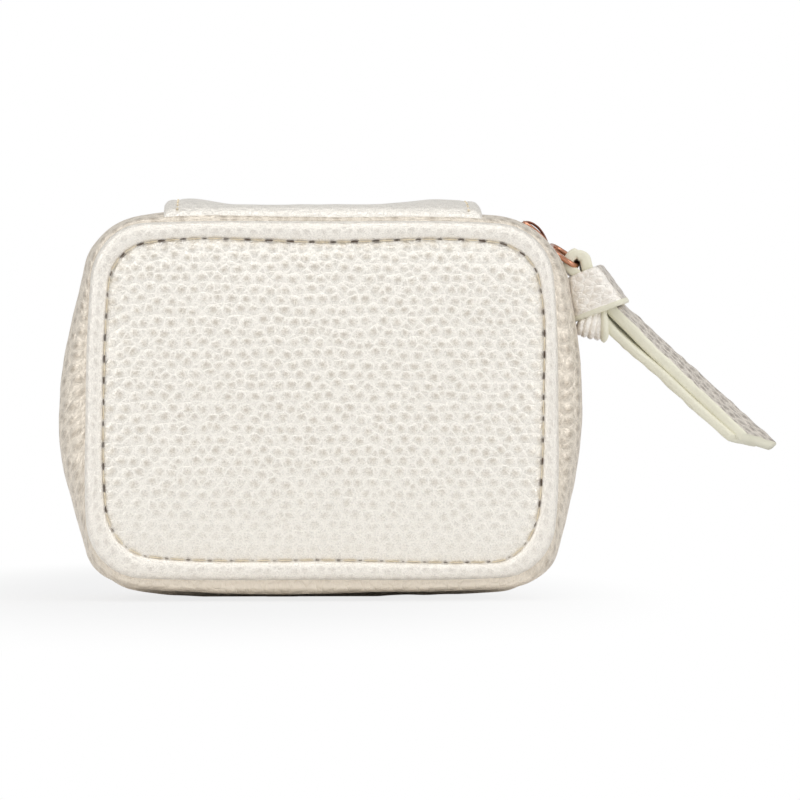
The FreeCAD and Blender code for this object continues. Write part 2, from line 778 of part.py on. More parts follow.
def hinge_lining():
    """The lining strip that closes the same gap from inside."""
    body = new_body("hinge_lining_ring")
    reach = dim["hinge_lining_reach"] / 2
    inset = lining_in + dim["ply_gap"]
    ring = outline_sketch(body, "ring", ZIP, ZERO, inset, inset + dim["lining"])
    add_pad(body, "cloth", ring, dim["hinge_lining_reach"], midplane=True)
    clipped("hinge_lining", body, dim["hinge_lining_width"] / 2, reach, reach)


def ring_rolls():
    """Padded rolls that grip rings between them, laid side by side on the base's floor."""
    count = int(dim["roll_count"].value)
    radius = dim["roll_dia"] / 2
    roll_y = zip_y + floor_depth(BASE) - dim["ply_gap"] - radius
    for step in range(count):
        body = new_body(f"ring_roll_{step + 1}")
        bind(body, ".Placement.Base.y", roll_y)
        bind(body, ".Placement.Base.z", mid_z + RIM.lift + dim["roll_pitch"] * (step - (count - 1) / 2))
        disc = new_sketch(body, "disc", "YZ_Plane", dim["roll_start_x"])
        draw_circle(disc, ZERO, ZERO, radius)
        pad = add_pad(body, "roll", disc, dim["roll_end_x"] - dim["roll_start_x"])
        rims = [f"Edge{index}" for index, edge in enumerate(pad.Shape.Edges, start=1) if edge.Closed]
        add_fillet(body, "ends", pad, rims, dim["roll_end_round"])


def divider():
    body = new_body("base_divider")
    foot = floor_depth(BASE) - dim["ply_gap"]
    middle = mid_z + RIM.lift
    plate = new_sketch(body, "plate", "YZ_Plane", dim["divider_x"])
    draw_rectangle(plate, foot - dim["divider_depth"], middle - dim["divider_half_height"],
                   foot, middle + dim["divider_half_height"])
    add_pad(body, "board", plate, dim["divider"])


def lid_pocket():
    """A flat pocket on the lid's floor with an elastic band along its mouth."""
    back = floor_depth(LID) - dim["ply_gap"]
    reach = dim["pocket_width"] / 2
    top = dim["pocket_bottom"] + dim["pocket_height"]
    skin = dim["pocket_skin"]
    body = new_body("lid_pocket")
    block = new_sketch(body, "block", "XZ_Plane", back)
    draw_rectangle(block, -reach, dim["pocket_bottom"], reach, top)
    add_pad(body, "cloth", block, dim["pocket_depth"], -1)
    hollow = new_sketch(body, "hollow", "XZ_Plane", back - skin)
    draw_rectangle(hollow, skin - reach, dim["pocket_bottom"] + skin, reach - skin, top)
    add_pocket(body, "room", hollow, dim["pocket_depth"] - skin * 2, -1)
    band = new_body("pocket_elastic")
    strip = new_sketch(band, "strip", "XZ_Plane", back - dim["pocket_depth"])
    draw_rectangle(strip, -reach, top - dim["elastic_height"], reach, top)
    add_pad(band, "band", strip, dim["elastic"], -1)


def build():
    for half in (LID, BASE):
        gusset(half)
        side_wall(f"{half.name}_wall_board", half, board_out, board_in, dim["zip_band"])
        side_wall(f"{half.name}_lining_wall", half, lining_out, lining_in, dim["hem"])
        face_panel(half)
        welt(half)
        zip_tape(half)
        zip_teeth(half)
    zip_slider()
    pull_ring()
    pull_strap()
    pull_knot()
    hinge_panel()
    hinge_lining()
    ring_rolls()
    divider()
    lid_pocket()
    doc.recompute()


def finished_parts():
    """Every sub-part that stands by itself, by label."""
    helpers = {"hinge_shell", "hinge_lining_ring"}
    kinds = ("PartDesign::Body", "Part::Feature", "Part::Common")
    return {item.Label: item for item in doc.Objects if item.TypeId in kinds and item.Label not in helpers}


def write_parts():
    faults = [item.Name for item in doc.Objects if "Invalid" in item.State or "Error" in item.State]
    parts = finished_parts()
    faults += [label for label, item in parts.items() if item.Shape.isNull() or not item.Shape.isValid()]
    if faults:
        raise ValueError(f"failed: {faults}")
    os.makedirs("parts", exist_ok=True)
    for label, item in parts.items():
        item.Shape.exportStep(f"parts/{label}.step")
        print(label, len(item.Shape.Solids), round(item.Shape.Volume, 1))


build()
write_parts()
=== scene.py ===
import math

import bmesh
import bpy
import numpy as np
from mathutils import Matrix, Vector, noise


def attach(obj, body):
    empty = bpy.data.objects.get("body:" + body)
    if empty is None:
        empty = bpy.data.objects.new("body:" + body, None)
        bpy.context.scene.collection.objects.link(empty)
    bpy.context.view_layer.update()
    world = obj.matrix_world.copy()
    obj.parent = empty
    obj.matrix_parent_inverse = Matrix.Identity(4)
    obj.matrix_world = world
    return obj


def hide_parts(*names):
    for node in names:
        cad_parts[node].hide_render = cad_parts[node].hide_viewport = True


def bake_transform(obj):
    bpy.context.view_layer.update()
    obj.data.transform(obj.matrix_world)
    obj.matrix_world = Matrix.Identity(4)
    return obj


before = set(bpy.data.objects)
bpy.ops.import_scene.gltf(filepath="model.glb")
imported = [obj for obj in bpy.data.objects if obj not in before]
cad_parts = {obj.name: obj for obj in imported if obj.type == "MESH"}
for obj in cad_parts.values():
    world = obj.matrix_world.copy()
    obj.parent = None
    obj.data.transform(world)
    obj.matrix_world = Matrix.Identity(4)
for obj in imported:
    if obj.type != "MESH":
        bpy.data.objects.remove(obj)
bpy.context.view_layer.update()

# Lengths are in millimetres, and the frame is in metres. The lid is on side -1 of the zip's plane, and the
# base on side 1.
MM = 0.001
ZIP_Y = -5.0
HALVES = (("lid", -1), ("base", 1))

# Points on an outline are x, z and the heading there in degrees, clockwise from the middle of the top.
ZIP_OUTLINE = [
    (0, 84.3, 0), (37.6, 83.9, -4.4), (54.5, 68.4, -80), (57.3, 44.5, -88.3), (51.8, 10.3, -103.9),
    (38.3, 2.3, -177.3), (0, 1.5, 180.9), (-38.6, 2.7, 173.4), (-50.7, 10.0, 106.4), (-56.9, 39.7, 88.6),
    (-51.4, 72.6, 75.5), (-38.7, 83.7, 9.2)]
RIM_OUTLINE = [
    (0, 81.6, 0), (38.2, 81.3, -4), (49.9, 70.0, -84), (50.9, 43.0, -90), (50.2, 16.0, -97),
    (38.8, 5.0, -177), (0, 4.6, 180), (-38.8, 5.0, 177), (-50.4, 17.0, 94), (-50.6, 43.0, 90),
    (-49.6, 69.0, 86), (-38.0, 81.1, 3)]
SEAM_OUTLINE = [
    (0, 77.0, 0), (36.5, 77.2, -6), (46.6, 69.0, -78), (47.6, 47.0, -91), (46.6, 20.5, -96),
    (36.5, 8.5, -178), (0, 8.9, 180), (-36.5, 9.6, 174), (-46.2, 20.5, 95), (-46.7, 40.0, 89),
    (-45.6, 68.0, 84), (-37.0, 76.8, 8)]
SPAN_POINTS = (42, 20, 34, 34, 20, 42, 42, 20, 34, 34, 20, 42)


# Curves

def outline(anchors):
    """Closed smooth curve through the anchors, as an array of x, z."""
    points = []
    for (x0, z0, h0), (x1, z1, h1), count in zip(anchors, anchors[1:] + anchors[:1], SPAN_POINTS):
        turn = math.radians(abs((h1 - h0 + 180) % 360 - 180))
        reach = math.hypot(x1 - x0, z1 - z0)
        if turn > 0.01:
            reach *= 2 * math.tan(turn / 4) / math.sin(turn / 2)
        a0, a1 = math.radians(h0), math.radians(h1)
        t = (np.arange(count) / count)[:, None]
        start, end = np.array([x0, z0]), np.array([x1, z1])
        leave = reach * np.array([math.cos(a0), math.sin(a0)])
        arrive = reach * np.array([math.cos(a1), math.sin(a1)])
        points.append((2 * t**3 - 3 * t**2 + 1) * start + (t**3 - 2 * t**2 + t) * leave
                      + (3 * t**2 - 2 * t**3) * end + (t**3 - t**2) * arrive)
    return np.concatenate(points)


def normals(line):
    """Outward direction at each point of a closed clockwise curve."""
    run = np.roll(line, -1, 0) - np.roll(line, 1, 0)
    run /= np.linalg.norm(run, axis=1)[:, None]
    return np.stack([-run[:, 1], run[:, 0]], 1)


def inset(line, depth):
    """The closed curve, moved inwards by depth."""
    return line - normals(line) * np.reshape(depth, (-1, 1))


def at_depth(line, y):
    """The curve as points in space at depth y."""
    return np.stack([line[:, 0], np.broadcast_to(y, len(line)), line[:, 1]], 1)


def run_length(curve):
    """Length of a line through the points."""
    return np.linalg.norm(np.diff(curve, axis=0), axis=1).sum()


def along(curve, count):
    """The curve's points spread evenly."""
    length = np.concatenate([[0], np.linalg.norm(np.diff(curve, axis=0), axis=1).cumsum()])
    spread = np.linspace(0, length[-1], count)
    return np.stack([np.interp(spread, length, curve[:, k]) for k in range(curve.shape[1])], 1)


def smooth_path(points, count):
    """Evenly spaced points on a smooth curve through the given ones."""
    points = np.asarray(points, float)
    ends = np.concatenate([[2 * points[0] - points[1]], points, [2 * points[-1] - points[-2]]])
    curve = []
    for p0, p1, p2, p3 in zip(ends, ends[1:], ends[2:], ends[3:]):
        t = np.linspace(0, 1, 24, endpoint=False)[:, None]
        curve.append(0.5 * (2 * p1 + (p2 - p0) * t + (2 * p0 - 5 * p1 + 4 * p2 - p3) * t**2
                            + (3 * p1 - p0 - 3 * p2 + p3) * t**3))
    return along(np.concatenate(curve + [points[-1:]]), count)


def circle(count):
    """Angles round a circle."""
    return np.linspace(0, 2 * math.pi, count, endpoint=False)


def blunted(value, power):
    """The value to a power, with its sign kept. Powers below 1 square the corners of a circle."""
    return np.copysign(np.abs(value) ** power, value)


def bell(value):
    """1 at 0, and nearly 0 from 2 on either side."""
    return np.exp(-(value**2))


def dish(edge, back, shares, depths):
    """Rows of points from an edge at depth back over the front to the middle, at shares of its size."""
    middle = edge.mean(0)
    rows = [at_depth(middle + (edge - middle) * share, depth) for share, depth in zip(shares, depths)]
    return np.array([at_depth(edge, back)] + rows)


def ripple(points, scale, seed):
    """Smooth noise from -1 to 1 at each point of an array."""
    flat = points.reshape(-1, 3)
    shift = Vector((seed * 17.3, seed * 5.1, seed * 9.7))
    values = [noise.noise(Vector(p) / scale + shift) for p in flat]
    return np.array(values).reshape(points.shape[:-1])


# Meshes

def mesh_of(name, work):
    """The work as a new mesh."""
    mesh = bpy.data.meshes.new(name)
    work.to_mesh(mesh)
    work.free()
    return mesh


def turn_outwards(mesh, fill=False):
    """Turns the mesh's faces outwards, after closing its open ends if fill is true."""
    work = bmesh.new()
    work.from_mesh(mesh)
    if fill:
        bmesh.ops.holes_fill(work, edges=[e for e in work.edges if e.is_boundary], sides=0)
    bmesh.ops.recalc_face_normals(work, faces=work.faces)
    work.to_mesh(mesh)
    work.free()


def shade_smooth(mesh):
    mesh.polygons.foreach_set("use_smooth", [True] * len(mesh.polygons))


def finished(name, mesh, material):
    """Object of the mesh, with its faces turned outwards and shaded smoothly."""
    turn_outwards(mesh)
    shade_smooth(mesh)
    mesh.materials.append(material)
    piece = bpy.data.objects.new(name, mesh)
    bpy.context.scene.collection.objects.link(piece)
    return piece


def fill_ends(piece):
    """Closes the open ends of a piece with flat faces."""
    turn_outwards(piece.data, fill=True)
    return piece


def grid_piece(name, points, material, around=False, across=False):
    """Mesh over a grid of points, with its surface in millimetres as the UV layer grain.
    around joins the last column to the first, and across the last row to the first."""
    rows, cols = points.shape[:2]
    wide = np.concatenate([points, points[:, :1]], 1) if around else points
    full = np.concatenate([wide, wide[:1]], 0) if across else wide
    u = np.zeros(full.shape[:2])
    v = np.zeros(full.shape[:2])
    u[:, 1:] = np.linalg.norm(np.diff(full, axis=1), axis=2).mean(0).cumsum()[None, :]
    v[1:] = np.linalg.norm(np.diff(full, axis=0), axis=2).mean(1).cumsum()[:, None]
    i, j = np.meshgrid(np.arange(full.shape[0] - 1), np.arange(full.shape[1] - 1), indexing="ij")
    i, j = i.ravel(), j.ravel()
    corners = [(i, j), (i, j + 1), (i + 1, j + 1), (i + 1, j)]
    faces = np.stack([(a % rows) * cols + b % cols for a, b in corners], 1)
    uvs = np.stack([np.stack([u[a, b], v[a, b]], 1) for a, b in corners], 1)
    mesh = bpy.data.meshes.new(name)
    mesh.from_pydata((points.reshape(-1, 3) * MM).tolist(), [], faces.tolist())
    layer = mesh.uv_layers.new(name="grain")
    layer.data.foreach_set("uv", uvs.ravel())
    return finished(name, mesh, material)


def two_sided(name, front, back, material):
    """Closed piece between two grids of points."""
    return fill_ends(grid_piece(name, np.concatenate([front, back[::-1]]), material, across=True))


def sweep(name, path, section, material, width_axis=(0.0, 1.0, 0.0), closed=False):
    """Tube along a path of points. section lists (out, along the width axis) offsets round the tube."""
    path = np.asarray(path, float)
    if closed:
        run = np.roll(path, -1, 0) - np.roll(path, 1, 0)
    else:
        run = np.gradient(path, axis=0)
    run /= np.linalg.norm(run, axis=1)[:, None]
    out = np.cross(np.broadcast_to(np.array(width_axis), path.shape), run)
    out /= np.linalg.norm(out, axis=1)[:, None]
    wide = np.cross(run, out)
    rows = [path + out * o + wide * w for o, w in section]
    piece = grid_piece(name, np.array(rows).transpose(1, 0, 2), material, around=True, across=closed)
    return piece if closed else fill_ends(piece)


def ellipse(out, wide, count):
    """Offsets round an ellipse, for sweep."""
    return [(out * math.cos(t), wide * math.sin(t)) for t in circle(count)]


def beads(name, places, runs, outs, size, material, shares=None):
    """One mesh of many small rounded bars. size is half length, half width and half height, and shares
    scales each bar."""
    work = bmesh.new()
    for k, (place, run, out) in enumerate(zip(places, runs, outs)):
        share = 1.0 if shares is None else shares[k]
        run = Vector(run).normalized()
        out = (Vector(out) - run * run.dot(Vector(out))).normalized()
        side = run.cross(out)
        made = bmesh.ops.create_uvsphere(work, u_segments=10, v_segments=6, radius=1.0)
        for vert in made["verts"]:
            c = vert.co.copy()
            offset = run * blunted(c.x, 0.6) * size[0] + side * c.y * size[1] + out * c.z * size[2]
            vert.co = (Vector(place) + offset * share) * MM
    mesh = mesh_of(name, work)
    layer = mesh.uv_layers.new(name="grain")
    for loop in mesh.loops:
        co = mesh.vertices[loop.vertex_index].co
        layer.data[loop.index].uv = ((co.x + co.y) / MM, (co.z + co.y) / MM)
    return finished(name, mesh, material)


def joined(name, parts):
    """One object from several."""
    bpy.ops.object.select_all(action="DESELECT")
    for part in parts:
        part.select_set(True)
    bpy.context.view_layer.objects.active = parts[0]
    bpy.ops.object.join()
    parts[0].name = name
    return parts[0]


def show(piece, body, slot_name, *replaced):
    """Puts the piece on its body in place of the CAD nodes."""
    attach(piece, body)
    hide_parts(*replaced)
    return piece


# Materials

class Nodes:
    """A node tree, with short names for what is added to it."""

    def __init__(self, tree):
        self.tree = tree

    def add(self, kind, values=None, **settings):
        node = self.tree.nodes.new("ShaderNode" + kind)
        for key, value in settings.items():
            setattr(node, key, value)
        for key, value in (values or {}).items():
            self.put(node.inputs[key], value)
        return node

    def put(self, socket, value):
        if isinstance(value, bpy.types.NodeSocket):
            self.tree.links.new(value, socket)
        else:
            socket.default_value = value

    def math(self, operation, a, b=0.0, c=0.0, clamp=False):
        node = self.add("Math", operation=operation, use_clamp=clamp)
        for socket, value in zip(node.inputs, (a, b, c)):
            self.put(socket, value)
        return node.outputs[0]

    def smooth_range(self, value, start, end, low, high):
        """low up to start, high from end on, and a soft step between them."""
        values = {"Value": value, "From Min": start, "From Max": end, "To Min": low, "To Max": high}
        return self.add("MapRange", values, interpolation_type="SMOOTHSTEP").outputs[0]


class Shader(Nodes):
    """A new material's node tree."""

    def __init__(self, name):
        self.material = bpy.data.materials.new(name)
        self.material.use_nodes = True
        super().__init__(self.material.node_tree)
        self.surface = self.tree.nodes["Principled BSDF"]

    def set(self, **values):
        """Sets or links inputs of the surface, with _ for a space in their names."""
        for key, value in values.items():
            self.put(self.surface.inputs[key.replace("_", " ")], value)

    def grain(self):
        """Place on the surface in millimetres."""
        return self.add("UVMap", uv_map="grain").outputs["UV"]

    def ramp(self, factor, stops):
        """Grey that goes through the stops, each a factor and a grey."""
        node = self.add("ValToRGB", {"Fac": factor})
        while len(node.color_ramp.elements) < len(stops):
            node.color_ramp.elements.new(0.5)
        for element, (place, grey) in zip(node.color_ramp.elements, stops):
            element.position = place
            element.color = (grey, grey, grey, 1)
        return node.outputs["Color"]

    def mix(self, factor, a, b):
        node = self.add("Mix", data_type="RGBA")
        self.put(node.inputs["Factor"], factor)
        for index, colour in ((6, a), (7, b)):
            self.put(node.inputs[index], colour if isinstance(colour, bpy.types.NodeSocket) else (*colour, 1))
        return node.outputs[2]

    def noise(self, vector, scale, detail=2.0, roughness=0.5):
        values = {"Vector": vector, "Scale": scale, "Detail": detail, "Roughness": roughness}
        return self.add("TexNoise", values).outputs["Fac"]

    def bump(self, height, distance):
        values = {"Height": height, "Distance": distance, "Strength": 1.0}
        return self.add("Bump", values).outputs["Normal"]


# Tilt that lays a surface along the (1, 1, 1) plane of a cubic lattice, where the points are in offset rows.
ROWS_TILT = (math.acos(1 / math.sqrt(3)), 0.0, math.radians(135.0))
JITTER = 0.5
NOISE_MIDDLE = WARP = (0.5, 0.5, 0.5)
ROW_SHARE = 0.72
# Gain and limit of the lighter colour painted on creases and specks: a painted highlight.
HIGHLIGHT_GAIN, HIGHLIGHT_LIMIT = 1.32, 0.98
# Height band near the table over which the side leather is painted lighter and warmer: a painted floor
# bounce.
BOUNCE_LOW, BOUNCE_HIGH, BOUNCE_SHARE = 1.6 * MM, 8.4 * MM, 0.95


def leather(name, cream, spot, cell=3.2, rows=ROW_SHARE, pebble=0.35, crease=0.07, grit=0.06, tint=0.7,
            spread=(0.04, 0.54), white=0.85, fade=None, floor_bounce=None):
    """Pearl leather: a satin metallic finish over round pebbles with fine creases between them.
    cell is the pitch of the pebbles in a row, rows the distance between rows as a share of it, and pebble,
    crease and grit are the heights of the three reliefs. The tops of the pebbles are painted darker, towards
    spot, as strongly as tint and as wide as spread: painted shade for the darker front that they reflect. The
    creases and fine specks are painted lighter, a painted highlight; white is the strength of it on the
    creases.
    fade is the stretch of the grain's second axis over which the pebbles and their painted dark tops come in,
    which leaves the lower face lighter, a painted floor bounce. floor_bounce is the lighter colour painted
    near the table, also a painted bounce of light from the floor."""
    s = Shader(name)
    source = s.grain()
    lattice = s.add("Mapping", {"Vector": source, "Location": (JITTER / 2,) * 3, "Rotation": ROWS_TILT,
                                "Scale": (math.sqrt(2) / cell, math.sqrt(1.5) / (cell * rows), 1)}).outputs[0]
    warp = s.add("TexNoise", {"Vector": lattice, "Scale": 0.8, "Detail": 2.0}).outputs["Color"]
    shift = s.add("VectorMath", {0: warp, 1: NOISE_MIDDLE}, operation="SUBTRACT").outputs[0]
    moved = s.add("VectorMath", {0: shift, 1: WARP, 2: lattice}, operation="MULTIPLY_ADD").outputs[0]
    cells = s.add("TexVoronoi", {"Vector": moved, "Scale": 1.0, "Randomness": JITTER}).outputs["Distance"]
    squeezed = s.add("Mapping", {"Vector": source, "Scale": (1, ROW_SHARE / rows, 1)}).outputs[0]
    fine = s.noise(squeezed, 2.8, 3.0, 0.75)

    # Creases: one net round the pebbles, and a finer one that is torn away in patches.
    nets = []
    for size, jitter, width in ((1.0, JITTER, 0.2), (2.6, 1.0, 0.24)):
        net = s.add("TexVoronoi", {"Vector": moved, "Scale": size, "Randomness": jitter},
                    feature="DISTANCE_TO_EDGE").outputs["Distance"]
        nets.append(s.ramp(s.math("MULTIPLY_ADD", fine, 0.2, net), [(0.07, 1), (width, 0)]))
    torn = s.ramp(s.noise(source, 0.9), [(0.4, 0), (0.62, 1)])
    lines = s.math("ADD", s.math("MULTIPLY", nets[1], torn), s.math("MULTIPLY", nets[0], 0.75), clamp=True)

    # Pebbles: their domes, and their tops painted darker with ragged edges: painted shade.
    dome = s.ramp(cells, [(0.0, 1), (0.28, 0.88), (0.85, 0)])
    ragged = s.math("MULTIPLY_ADD", fine, 0.5, s.math("ADD", cells, -0.25))
    painted_dark_tops = s.math("MULTIPLY", s.ramp(ragged, [(spread[0], 1), (spread[1], 0)]), tint)
    amount = pebble
    # The pebbles and their painted dark tops ease in up the face, so its lower part is lighter: a painted
    # floor bounce.
    if fade:
        height = s.add("SeparateXYZ", {0: source}).outputs["Y"]
        ease = s.smooth_range(height, *fade, 0.3, 1.0)
        amount = s.math("MULTIPLY", ease, pebble)
        painted_dark_tops = s.math("MULTIPLY", painted_dark_tops, ease)

    # Lighter copy of the cream for the creases and specks: a painted highlight.
    painted_highlight = [c * min(HIGHLIGHT_GAIN, HIGHLIGHT_LIMIT / max(cream)) for c in cream]
    # Fine specks painted lighter: a painted sparkle.
    painted_sparkle = s.ramp(fine, [(0.4, 0), (0.6, 1)])
    colour = s.mix(painted_dark_tops, s.mix(painted_sparkle, cream, painted_highlight), spot)
    # Creases painted lighter: a painted highlight.
    colour = s.mix(s.math("MULTIPLY", lines, white), colour, painted_highlight)
    # Lighter and warmer near the table: a painted bounce of light from the floor.
    if floor_bounce:
        level = s.add("SeparateXYZ", {0: s.add("TexCoord").outputs["Object"]}).outputs["Z"]
        colour = s.mix(s.smooth_range(level, BOUNCE_LOW, BOUNCE_HIGH, BOUNCE_SHARE, 0.0), colour, floor_bounce)
    relief = s.math("MULTIPLY_ADD", fine, grit, s.math("MULTIPLY", dome, amount))
    relief = s.math("MULTIPLY_ADD", lines, -crease, relief)
    s.set(Base_Color=colour, Normal=s.bump(relief, MM), Metallic=0.5,
          Roughness=s.math("MULTIPLY_ADD", fine, 0.16, 0.26))
    return s.material


def plain_leather(name, colour, dark):
    """Edge paint, thread and the like: fine pores and soft stains."""
    s = Shader(name)
    place = s.grain()
    fine = s.noise(place, 1.8, 5.0, 0.6)
    patch = s.noise(place, 0.12)
    s.set(Base_Color=s.mix(s.math("MULTIPLY", patch, fine), colour, dark), Normal=s.bump(fine, 0.08 * MM),
          Roughness=s.math("MULTIPLY_ADD", fine, 0.25, 0.35))
    return s.material


def metal(name, colour, dark, roughness):
    """Plated metal with fine brushing and darker patches at random."""
    s = Shader(name)
    place = s.add("TexCoord").outputs["Object"]
    fine = s.noise(place, 900.0, 3.0)
    dark_patches = s.noise(place, 160.0)
    s.set(Base_Color=s.mix(dark_patches, colour, dark), Metallic=1.0, Normal=s.bump(fine, 0.02 * MM),
          Roughness=s.math("MULTIPLY_ADD", fine, 0.15, roughness))
    return s.material


def cloth(name, colour, dark, pitch, sheen):
    """Woven or brushed cloth. pitch is the size of its fibres."""
    s = Shader(name)
    place = s.add("TexCoord").outputs["Object"]
    fine = s.noise(place, 1 / (pitch * MM), 4.0, 0.7)
    nap = s.noise(place, 110.0, 3.0)
    worn = s.math("MULTIPLY_ADD", nap, 0.7, s.math("MULTIPLY", fine, 0.3))
    s.set(Base_Color=s.mix(worn, colour, dark), Normal=s.bump(fine, 0.12 * MM), Roughness=0.9,
          Sheen_Weight=sheen, Sheen_Roughness=0.4)
    return s.material


PEARL = leather("pearl_leather_grain", (0.752, 0.722, 0.665), (0.59, 0.525, 0.43), grit=0.035, tint=0.72,
                fade=(8.0, 34.0))
# The side wall's leather: a darker copy of the face's, painted shade for sides turned from the lamps.
PEARL_SIDE_SHADED = leather("pearl_leather_side_shaded", (0.66, 0.60, 0.515), (0.38, 0.32, 0.25), cell=3.0, rows=1.0,
                     crease=0.06, grit=0.03, tint=0.8, floor_bounce=(1.0, 0.91, 0.78))
PEARL_STRIP = leather("pearl_leather_strip", (0.75, 0.72, 0.665), (0.65, 0.605, 0.54), cell=2.8, pebble=0.1,
                      tint=0.35, white=0.5)
# The pull's leather: a darker copy, painted shade for the strap's faces turned away from the lamps.
PEARL_STRAP_SHADED = leather("pearl_leather_strap_shaded", (0.66, 0.61, 0.545), (0.36, 0.31, 0.265), cell=2.4, rows=1.0,
                      pebble=0.4, tint=0.9, spread=(0.12, 0.62))
# The knot's leather: a lighter copy of the pull's, painted light for the knot that faces the lamps.
PEARL_BAND_LIT = leather("pearl_leather_band_lit", (0.96, 0.915, 0.85), (0.74, 0.665, 0.58), cell=2.3, pebble=0.2,
                     crease=0.08, tint=0.6)
PEARL_SMOOTH = leather("pearl_leather_rim", (0.775, 0.74, 0.68), (0.62, 0.565, 0.50), cell=2.8, pebble=0.1,
                       crease=0.06, tint=0.45, white=0.7)
EDGE = plain_leather("cream_edge", (0.84, 0.82, 0.68), (0.66, 0.62, 0.47))
ROSE = metal("rose_gold", (0.84, 0.44, 0.29), (0.40, 0.17, 0.10), 0.14)
# A darker copy of the rose gold for the slider's bridge: painted shade.
ROSE_PAINTED_SHADE = metal("rose_gold_painted_shade", (0.40, 0.19, 0.13), (0.14, 0.06, 0.04), 0.18)
LINING = cloth("velvet_lining", (0.72, 0.66, 0.57), (0.52, 0.46, 0.38), 0.5, 0.7)
TAPE = cloth("woven_tape", (0.74, 0.70, 0.62), (0.55, 0.50, 0.42), 0.4, 0.1)
THREAD = plain_leather("cream_thread", (0.88, 0.79, 0.61), (0.66, 0.53, 0.34))
# Near-black colour for the beads in the stitch holes: painted shade.
HOLE_SHADE = plain_leather("stitch_hole_shade", (0.13, 0.08, 0.045), (0.05, 0.03, 0.02))


# Case

zip_line = outline(ZIP_OUTLINE)
rim_line = outline(RIM_OUTLINE)
seam_line = outline(SEAM_OUTLINE)

HEM = 3.2  # distance from the zip to the side wall's hem
FULL = 6.0  # distance from the zip up to which the side wall stays full
SEAM = {"lid": 15.3, "base": 25.3}
SKIN = 1.15
HEM_FOLD = 0.35
BASE_DROP = 1.6  # how much lower the base's side hangs, to stand on the floor
LOW_TOP, LOW_SPAN = 14, 8
RIM_SHARE, RIM_DEPTH, RIM_ROLL = 0.52, 22.35, 2.55
FACE_BACK, FACE_EDGE, FACE_PUFF, FACE_CROWN = 21.2, 23.6, 1.05, 1.35


def drawn_in(swell):
    """Share of the zip's outline that is left at a share of the way from the full part to the rim."""
    return (1 - swell**2.4) ** 0.55


def side_line(d, seam, side):
    """Outline of the side wall at distance d from the zip: full near the zip, drawn in to the rim, and low
    enough under the base to stand on."""
    swell = max(0.0, (d - FULL) / (seam - FULL))
    low = np.clip((LOW_TOP - rim_line[:, 1]) / LOW_SPAN, 0, 1)[:, None]
    share = (1 - low) * drawn_in(swell) + low * (1 - swell**6) ** 0.3
    line = rim_line + (zip_line - rim_line) * share
    if side > 0:
        line[:, 1] -= BASE_DROP * low[:, 0] * min(1.0, max(0.0, (d - 3.5) / 8.0)) * (1 - swell**8)
    return line


def case_side(name, seam, side):
    """Leather side wall from the zip's hem to the rim's seam, as a thin shell."""
    steps = np.concatenate([np.linspace(0, 0.8, 20), np.linspace(0.82, 1, 12)])
    groove_at = FULL + 0.56 * (seam - FULL)
    rows = []
    for t in steps:
        d = HEM + (seam - HEM) * t
        fold = HEM_FOLD * math.exp(-((d - HEM) / 0.5))
        groove = 0.24 * bell((d - groove_at) / 0.4)
        rows.append(at_depth(inset(side_line(d, seam, side), fold + groove), ZIP_Y + side * d))
    outer = np.array(rows)
    wave = ripple(outer * np.array([1, 1.6, 1]), 5.0, 1 + side) * 0.16 + ripple(outer, 14.0, 4 + side) * 0.22
    ease = np.clip(steps * 4, 0, 1) * np.clip((1 - steps) * 5, 0, 1)
    for k, row in enumerate(outer):
        flat = row[:, [0, 2]]
        row[:, [0, 2]] = flat + normals(flat) * (wave[k] * ease[k])[:, None]
    inner = np.array([at_depth(inset(row[:, [0, 2]], SKIN), row[:, 1]) for row in outer[::-1]])
    points = np.concatenate([outer, inner])
    points[..., 2] = np.maximum(points[..., 2], 0.0)
    return grid_piece(name, points, PEARL_SIDE_SHADED, around=True, across=True)


def case_rim(name, side):
    """Rolled rim between the side wall and the face's seam."""
    rows = []
    for a in circle(28):
        share = RIM_SHARE - RIM_SHARE * blunted(math.cos(a), 0.9)
        depth = RIM_DEPTH + RIM_ROLL * blunted(math.sin(a), 0.85)
        rows.append(at_depth(rim_line + (seam_line - rim_line) * share, side * depth))
    points = np.array(rows)
    points[..., 1] += ripple(points, 9.0, 7 + side) * 0.14
    return grid_piece(name, points, PEARL_SMOOTH, around=True, across=True)


def case_face(name, side):
    """Padded leather face, sewn in along the rim, with its grain upright."""
    shares = np.concatenate([1 - np.linspace(0, 1, 14) ** 1.4 * 0.14, np.linspace(0.86, 0.02, 42)[1:]])
    lift = FACE_EDGE + FACE_PUFF * (1 - shares**18) + FACE_CROWN * (1 - shares**2.2)
    points = dish(inset(seam_line, -0.2), side * FACE_BACK, shares, side * lift)
    points[1:, :, 1] += ripple(points[1:], 16.0, 11 + side) * 0.18
    piece = grid_piece(name, points, PEARL, around=True)
    layer = piece.data.uv_layers["grain"]
    for loop in piece.data.loops:
        co = piece.data.vertices[loop.vertex_index].co
        layer.data[loop.index].uv = (co.x / MM, co.z / MM)
    fill_ends(piece)
    shade_smooth(piece.data)
    return piece


for half, side in HALVES:
    show(case_side(half + "_side", SEAM[half], side), half, "pearl_leather", half + "_gusset",
         half + "_wall_board")
    show(case_rim(half + "_rim", side), half, "pearl_leather", half + "_welt", half + "_welt_cord")
    show(case_face(half + "_face", side), half, "pearl_leather", half + "_panel_leather",
                   half + "_panel_foam")

STITCH_PITCH = 4.62
STITCH_DEPTH, HOLE_DEPTH = 24.02, 23.92
STITCH_SIZE = (1.6, 0.1, 0.16)
HOLE_SIZE = (0.72, 0.08, 0.22)


